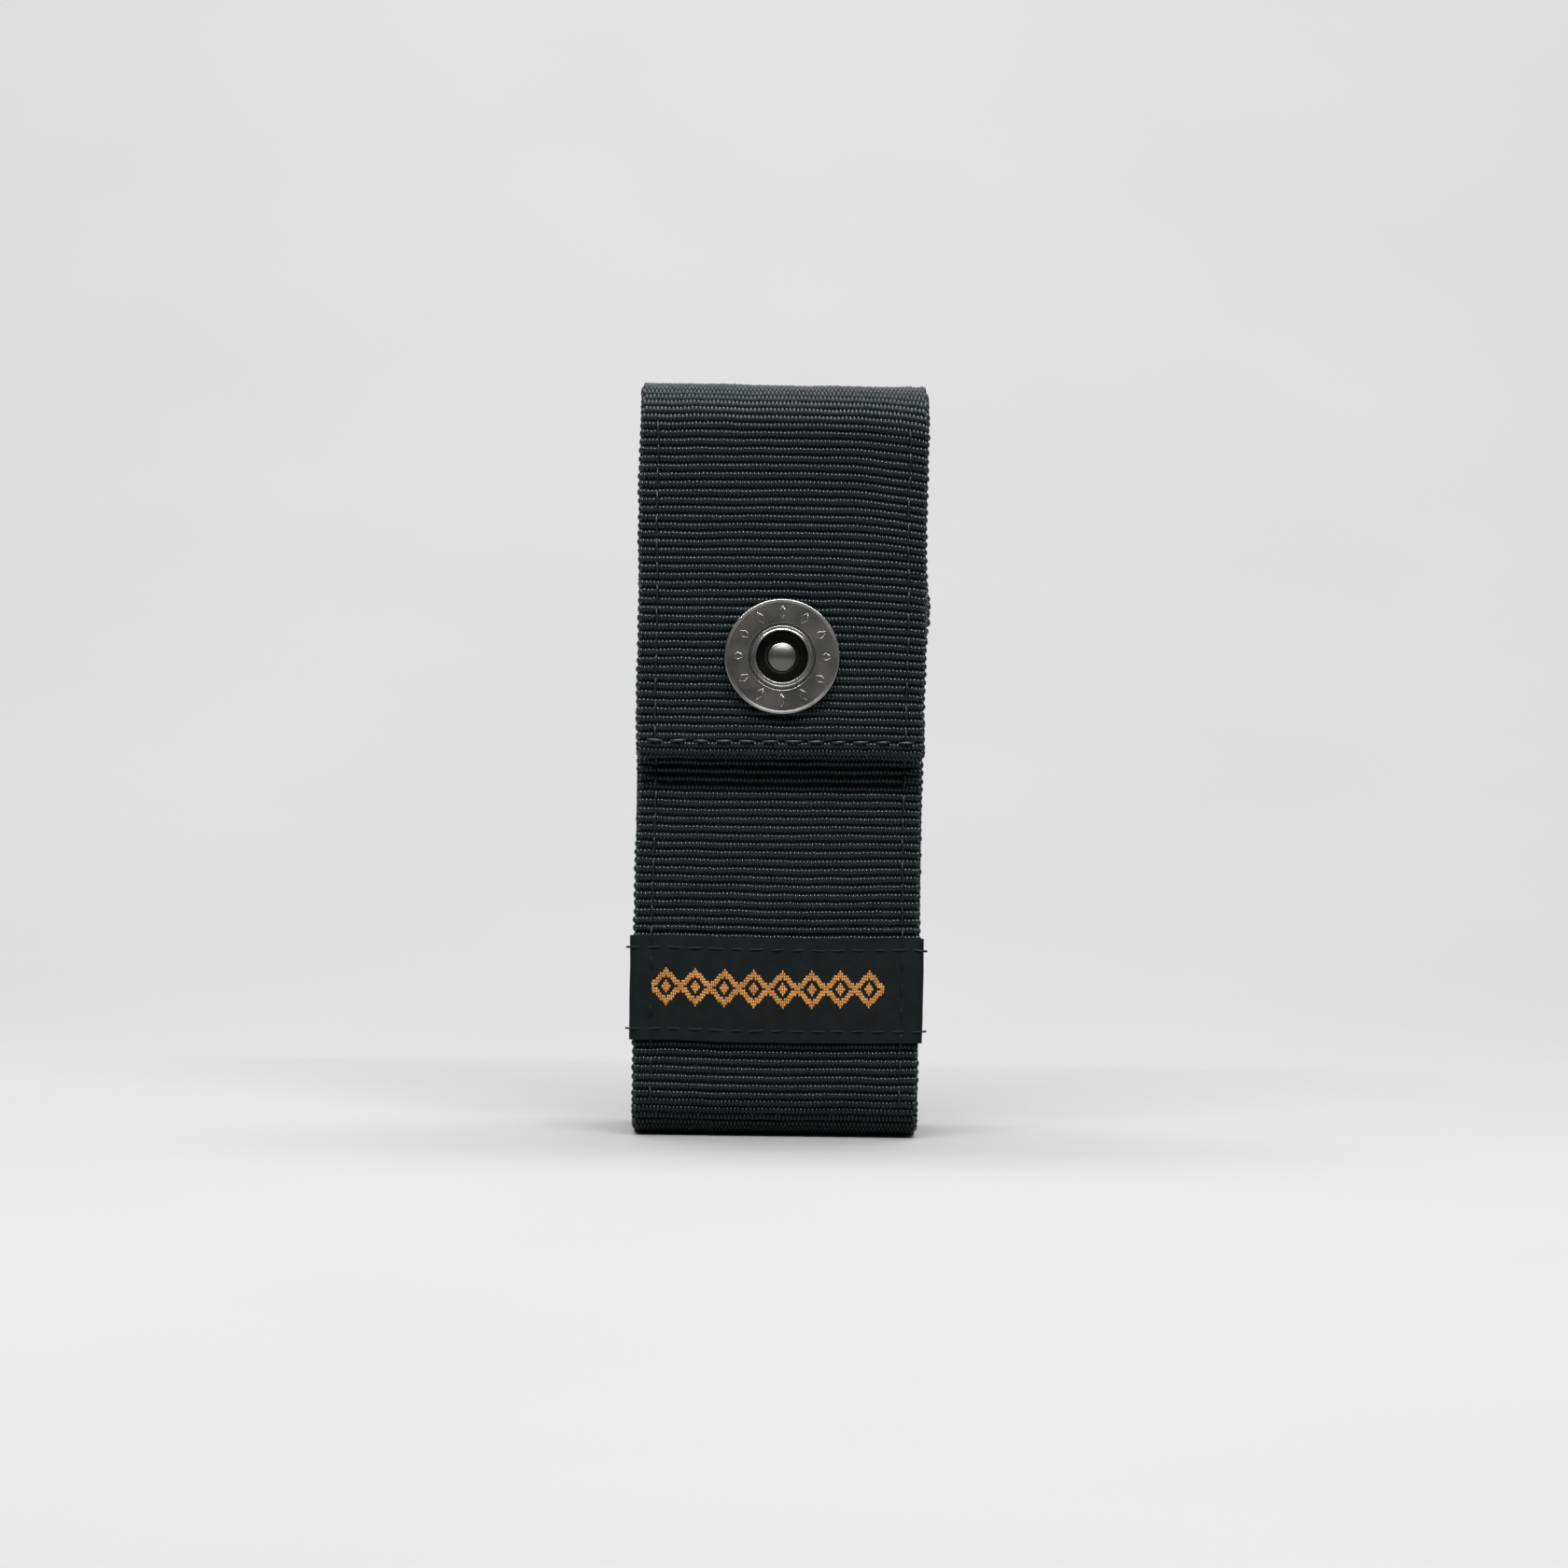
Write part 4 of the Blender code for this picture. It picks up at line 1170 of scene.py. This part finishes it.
# %% Turn the ring
RING_RADIUS = ring_high.x
RING_HOLE = 0.0040
RIM_TOP = FLAP - ring_low.y
FACE = RIM_TOP - 0.00012
GROOVE = FACE - 0.00036
LIP_TOP = RIM_TOP - 0.00002
TUBE_DEPTH = 0.0026
RIM_ROLL = 0.00020
LIP_ROLL = 0.00017
LIP_DIP = LIP_TOP - 0.00008
SHOULDER_ROLL = 0.00016
FACE_DIP = FACE - 0.00002
TUBE_OUT = 0.0046
WORN_RIM = 0.00026
ring_profile = [(RING_HOLE, -TUBE_DEPTH)]
ring_profile += arc((RING_HOLE + LIP_ROLL, LIP_TOP - LIP_ROLL), LIP_ROLL, 180, 70)
ring_profile += [(0.00435, LIP_DIP), (0.00450, LIP_DIP)]
ring_profile += arc((0.00466, LIP_TOP - LIP_ROLL), LIP_ROLL, 110, 0)
ring_profile += [(0.00488, GROOVE), (0.00506, GROOVE)]
ring_profile += arc((0.00530, FACE - SHOULDER_ROLL), SHOULDER_ROLL, 180, 90)
ring_profile += [(0.00600, FACE_DIP), (0.00740, FACE_DIP), (RING_RADIUS - 0.00055, FACE + 0.00001)]
ring_profile += arc((RING_RADIUS - RIM_ROLL, RIM_TOP - RIM_ROLL), RIM_ROLL, 110, -60)
ring_profile += [(RING_RADIUS - 1.5 * RIM_ROLL, LAYER_GAP), (TUBE_OUT, LAYER_GAP), (TUBE_OUT, -TUBE_DEPTH)]
ring = turned("ring_cap", ring_profile, FLAP, nickel)
ring.data.materials.append(rubbed)
for face in ring.data.polygons:
    face_radius = math.hypot(face.center.x, face.center.z - SNAP_Z)
    if face.center.y < FLAP and face_radius > RING_RADIUS - WORN_RIM:
        face.material_index = 1
print("ring:", len(ring.data.polygons), "faces")

# %% Turn the socket, the stud and the eyelet
SOCKET_BACK = 0.0033
socket_profile = [
    (0.00280, -SOCKET_BACK), (0.00280, -0.00290), (0.00350, -0.00290), (0.00350, -0.00200),
    (0.00280, -0.00200), (0.00280, -0.00160), (0.00385, -0.00160), (0.00385, -0.00280), (0.00720, -0.00280),
]
socket_profile += arc((0.00730, -0.00305), 0.00022, 90, -90) + [(0.00620, -0.00345), (0.00400, -0.00330)]
# The socket's near-black finish is partly painted shade, for the recess seen through the ring's hole.
socket = turned("flap_socket", socket_profile, FLAP, blackened_brass_and_shade)

HEAD_RADIUS = 0.002375
HEAD_HEIGHT = 0.0023
HEAD_CROWN = 0.0046
HEAD_ROLL = 0.0006
HEAD_TOP = HEAD_HEIGHT + HEAD_RADIUS
stud_profile = arc((0.0, HEAD_TOP - HEAD_CROWN), HEAD_CROWN, 90, 65)
stud_profile[0] = (0.0, HEAD_TOP)
roll_centre = (HEAD_RADIUS - HEAD_ROLL, stud_profile[-1][1] - 0.00056)
stud_profile += arc(roll_centre, HEAD_ROLL, 60, -30)
stud_profile += [(0.0017, 0.0018), (0.0015, 0.0011), (0.0017, 0.0007), (0.0030, 0.0006), (0.0035, 0.0004)]
stud_profile += [(0.0036, LAYER_GAP), (0.0012, LAYER_GAP), (0.0012, -0.0027), (0.0, -0.0027)]
stud = turned("ball_stud", stud_profile, FRONT, handled, SMALL_TURN_SIDES)
eyelet_profile = [(0.0014, -0.0026), (0.0014, -0.0018), (0.0044, -0.0018)]
eyelet_profile += arc((0.0041, -0.0023), 0.0003, 0, -90)
eyelet = turned("pouch_eyelet", eyelet_profile, FRONT, blackened_brass_and_shade, SMALL_TURN_SIDES)
print("stud:", len(stud.data.polygons), "faces")

# %% The tree that sets marks round the ring
MARK_INPUTS = {"Count": "Int", "Circle Radius": "Float", "Mark Size": "Vector", "Wire": "Float",
               "Centre": "Vector", "Finish": "Material"}


def build_marks():
    tree, given = new_tree("ring marks", MARK_INPUTS)
    put = given.outputs
    circle = out(tree, "GeometryNodeCurvePrimitiveCircle",
                 {"Resolution": put["Count"], "Radius": put["Circle Radius"]})
    steps = add(tree, "GeometryNodeCurveToPoints", {"Curve": circle}, mode="EVALUATED").outputs
    lozenge = out(tree, "GeometryNodeCurvePrimitiveCircle", {"Resolution": 4, "Radius": 0.5})
    sized = out(tree, "GeometryNodeTransform", {"Geometry": lozenge, "Scale": put["Mark Size"]})
    wire = out(tree, "GeometryNodeCurvePrimitiveCircle", {"Resolution": 6, "Radius": put["Wire"]})
    frame_mark = out(tree, "GeometryNodeCurveToMesh", {"Curve": sized, "Profile Curve": wire})
    turn = out(tree, "FunctionNodeAxesToRotation",
               {"Primary Axis": steps["Tangent"], "Secondary Axis": (0.0, 0.0, 1.0)},
               primary_axis="Y", secondary_axis="Z")
    marks = out(tree, "GeometryNodeInstanceOnPoints",
                {"Points": steps["Points"], "Instance": frame_mark, "Rotation": turn})
    stood = out(tree, "GeometryNodeTransform",
                {"Geometry": marks, "Translation": put["Centre"], "Rotation": (math.pi / 2, 0.0, 0.0)})
    close_tree(tree, stood, put["Finish"])
    return tree


MARK_COUNT = 12
MARK_CIRCLE = 0.0068
MARK_SIZE = (0.0020, 0.0011, 1.0)
MARK_WIRE = 0.00013
marks = grown(line_object("ring_marks", [(0, 0, 0), (0, 0, 0.001)]), build_marks(), {
    "Count": MARK_COUNT,
    "Circle Radius": MARK_CIRCLE,
    "Mark Size": MARK_SIZE,
    "Wire": MARK_WIRE,
    "Centre": (0.0, FLAP - FACE, SNAP_Z),
    "Finish": nickel,
})
print("ring marks:", len(marks.data.polygons), "faces")

# %% [markdown]
# ## How the cloth hangs
#
# Now that every piece is there, the shared wave is laid on all that is soft. Then two small signs of use
# follow: the mouth's right corner spreads a little past the flap, and the flap's ribs sag towards its
# right edge. Whatever lies on the moved cloth moves with it, so nothing comes apart.

# %% Let all the cloth share one unevenness
soft_pieces = [piece for pair in stretches.values() for piece in pair]
soft_pieces += list(loop_pieces) + list(linings.values()) + list(seams.values()) + [label, motif]
for piece in soft_pieces:
    soften(piece)
print(len(soft_pieces), "soft pieces eased")

# %% Spread the mouth's corner past the flap's edge
FLARE = 0.0007
FLARE_REACH = 0.0075
FLARE_FROM = 0.6
FLARE_Z = MOUTH - 0.0055
for piece in (*stretches["pouch_front"], seams["upper_right"]):
    for vertex in piece.data.vertices:
        outwards = max(0.0, vertex.co.x / HALF_WIDTH - FLARE_FROM) / (1 - FLARE_FROM)
        nearness = max(0.0, 1 - abs(vertex.co.z - FLARE_Z) / FLARE_REACH)
        vertex.co.x += FLARE * outwards * outwards * nearness * nearness * (3 - 2 * nearness)
print(f"mouth's corner spread by up to {1000 * FLARE:.1f} mm")

# %% Let the flap's ribs sag towards its right edge
SAG = 0.0013
SAG_FROM = 0.0080
SAG_FULL = 0.103
sagging = [*stretches["front_fold"], *stretches["flap"]]
sagging += [linings["front_fold_lining"], linings["flap_lining"]]
sagging += [seams[key] for key in seams if key.startswith("flap")]
for piece in sagging:
    for vertex in piece.data.vertices:
        outwards = max(0.0, vertex.co.x - SAG_FROM) / (HALF_WIDTH - SAG_FROM)
        round_fold = limited((HEIGHT - vertex.co.z) / FRONT_RADIUS)
        towards_hem = limited((vertex.co.z - FLAP_END) / (SAG_FULL - FLAP_END))
        vertex.co.z -= SAG * outwards * outwards * math.sqrt(1 - (1 - round_fold) ** 2) * towards_hem
print(f"{len(sagging)} pieces of the flap sag by up to {1000 * SAG:.1f} mm")

# %% [markdown]
# ## Camera, light and paper
#
# A small product like this is often shot against a roll of pale paper that curves up behind it. A long
# lens a little above the middle keeps the sides nearly straight. A thin bright strip high in front
# draws a line along each rib, a weaker one above and a broad panel fill in the metal, and a separate
# light washes the paper behind. The world adds a low, even, slightly cool light.

# %% Set the camera
CAMERA_LENS = 85.0
CAMERA_PLACE = Vector((-0.010, FLAP - 0.573, 0.0640))
CAMERA_TARGET = Vector((0.0006, FLAP, 0.0555))
CAMERA_ROLL_DEG = 0.82


def aimed(name, data, place, target):
    """A camera or a light at a place, looking at a target."""
    made = in_scene(name, data)
    made.location = place
    made.rotation_mode = "QUATERNION"
    made.rotation_quaternion = (Vector(target) - Vector(place)).to_track_quat("-Z", "Y")
    return made


scene = bpy.context.scene
camera_data = bpy.data.cameras.new("camera")
camera_data.lens = CAMERA_LENS
camera = aimed("camera", camera_data, CAMERA_PLACE, CAMERA_TARGET)
camera.rotation_quaternion @= Matrix.Rotation(math.radians(CAMERA_ROLL_DEG), 3, "Z").to_quaternion()
scene.camera = camera
print(f"camera {(CAMERA_TARGET - CAMERA_PLACE).length:.2f} m away")

# %% Set the lights
ON_SHEATH = (0.0, 0.0, 0.05)
ON_WALL = (0.0, 0.85, 0.35)
SKY_COLOUR = (0.98, 1.0, 1.0, 1.0)
SKY_STRENGTH = 0.18


def area_light(name, place, target, size, power):
    data = bpy.data.lights.new(name, "AREA")
    data.shape = "RECTANGLE"
    data.size, data.size_y = size
    data.energy = power
    return aimed(name, data, place, target)


area_light("front_strip", (0.0, -0.44, 0.60), ON_SHEATH, (1.00, 0.04), 11.5)
area_light("top_strip", (0.0, -0.13, 0.72), ON_SHEATH, (0.55, 0.08), 1.3)
area_light("panel", (0.0, -0.30, 0.70), ON_SHEATH, (0.60, 0.30), 2.1)
area_light("wall_wash", (0.0, 0.30, 1.30), ON_WALL, (1.60, 0.50), 49.0)

world = bpy.data.worlds.new("studio")
scene.world = world
world.use_nodes = True
tune(world.node_tree.nodes["Background"], {"Color": SKY_COLOUR, "Strength": SKY_STRENGTH})
scene.view_settings.view_transform = "Standard"
print("lights and world set")

# %% Roll out the paper
PAPER_FRONT = -0.8
PAPER_FLAT = 0.15
PAPER_BEND = 0.90
PAPER_TOP = 1.6
PAPER_HALF = 1.6
PAPER_TONES = ((0.192, 0.192, 0.192), (0.202, 0.202, 0.202))
BEND_STEPS = 24
paper_profile = [(PAPER_FRONT, 0.0), (PAPER_FLAT, 0.0)]
for bend in np.linspace(0, math.pi / 2, BEND_STEPS + 1)[1:]:
    paper_profile.append((PAPER_FLAT + PAPER_BEND * math.sin(bend), PAPER_BEND * (1 - math.cos(bend))))
paper_profile.append((PAPER_FLAT + PAPER_BEND, PAPER_TOP))
row = len(paper_profile)
paper_mesh = bpy.data.meshes.new("paper")
paper_mesh.from_pydata(
    [(x, y, z) for x in (-PAPER_HALF, PAPER_HALF) for y, z in paper_profile], [],
    [(i, i + 1, row + i + 1, row + i) for i in range(row - 1)])
paper_mesh.shade_smooth()
paper = in_scene("paper", paper_mesh)
paper_finish, paper_tree, paper_shader = finish("studio paper", 0.9)
mottled(paper_tree, paper_shader, PAPER_TONES, 6.0)
paper_mesh.materials.append(paper_finish)
print(len(paper_mesh.polygons), "faces in the paper")

# %% [markdown]
# ## Bodies, solids and slots
#
# The sheath has three bodies: the pouch, the flap's top and the flap's front. Most pieces ride on the pouch
# or the flap's front. The stretches over the folds and their linings ride on no body and keep their place.
# The frame's solids that the pieces stand for are hidden, and the spring's material slot gets steel.

# %% Let each piece ride on its body
RIDES = {
    "pouch": [*stretches["pouch_front"], *stretches["pouch_bottom"], *stretches["pouch_back"], *loop_pieces,
              linings["back_lining"], *gussets["left"], *gussets["right"], label, motif, stud, eyelet],
    "flap_front": [*stretches["flap"], linings["flap_lining"], ring, socket, marks],
}
for key, piece in seams.items():
    RIDES["flap_front" if key.startswith("flap") else "pouch"].append(piece)
for body, pieces in RIDES.items():
    for piece in pieces:
        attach(piece, body)

for piece in (*stretches["back_fold"], linings["back_fold_lining"]):
    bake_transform(piece)
for piece in (*stretches["front_fold"], linings["front_fold_lining"]):
    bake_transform(piece)
print(", ".join(f"{len(pieces)} pieces on {body}" for body, pieces in RIDES.items()))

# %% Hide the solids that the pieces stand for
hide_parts("pouch_webbing")
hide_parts("flap_top_webbing")
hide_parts("flap_front_webbing")
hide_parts("belt_loop")
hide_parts("back_lining")
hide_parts("flap_top_lining")
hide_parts("flap_front_lining")
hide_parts("woven_label")
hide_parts("snap_ring")
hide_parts("snap_socket")
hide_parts("snap_stud")
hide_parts("stud_eyelet")
for side_name in ("left", "right"):
    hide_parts("gusset_" + side_name)
for key, piece in seams.items():
    if key in frame["nodes"]:
        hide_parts(key)

frame["nodes"]["snap_spring"].data.materials[0] = steel

# %% [markdown]
# ## Sheets
#
# The cloth pieces are cut flat. The strap is one long strip 45 mm wide, so each of its stretches is as
# long as its part of the line. The loop, the linings and the ribbon are as long as their own lines. The
# elastic is as wide as the sheath is deep, and as long as it is tall. Here the stretches' rows are counted
# off again, and the faces of the linings and the ribbon are printed.

row_to = 0
for stretch_name, distance in cuts:
    row_from, row_to = row_to, round(distance / row_pitch)
for held_piece in (*linings.values(), label):
    print(f"{held_piece.name}: {len(held_piece.data.polygons)} faces")

# %% Measure and finish
tally = {}
for shown in scene.objects:
    if shown.type == "MESH" and not shown.hide_render:
        shown.data.calc_loop_triangles()
        tally[shown.name] = len(shown.data.loop_triangles)
largest = max(tally, key=tally.get)
print(f"{sum(tally.values())} triangles in all, {tally[largest]} of them in {largest}")
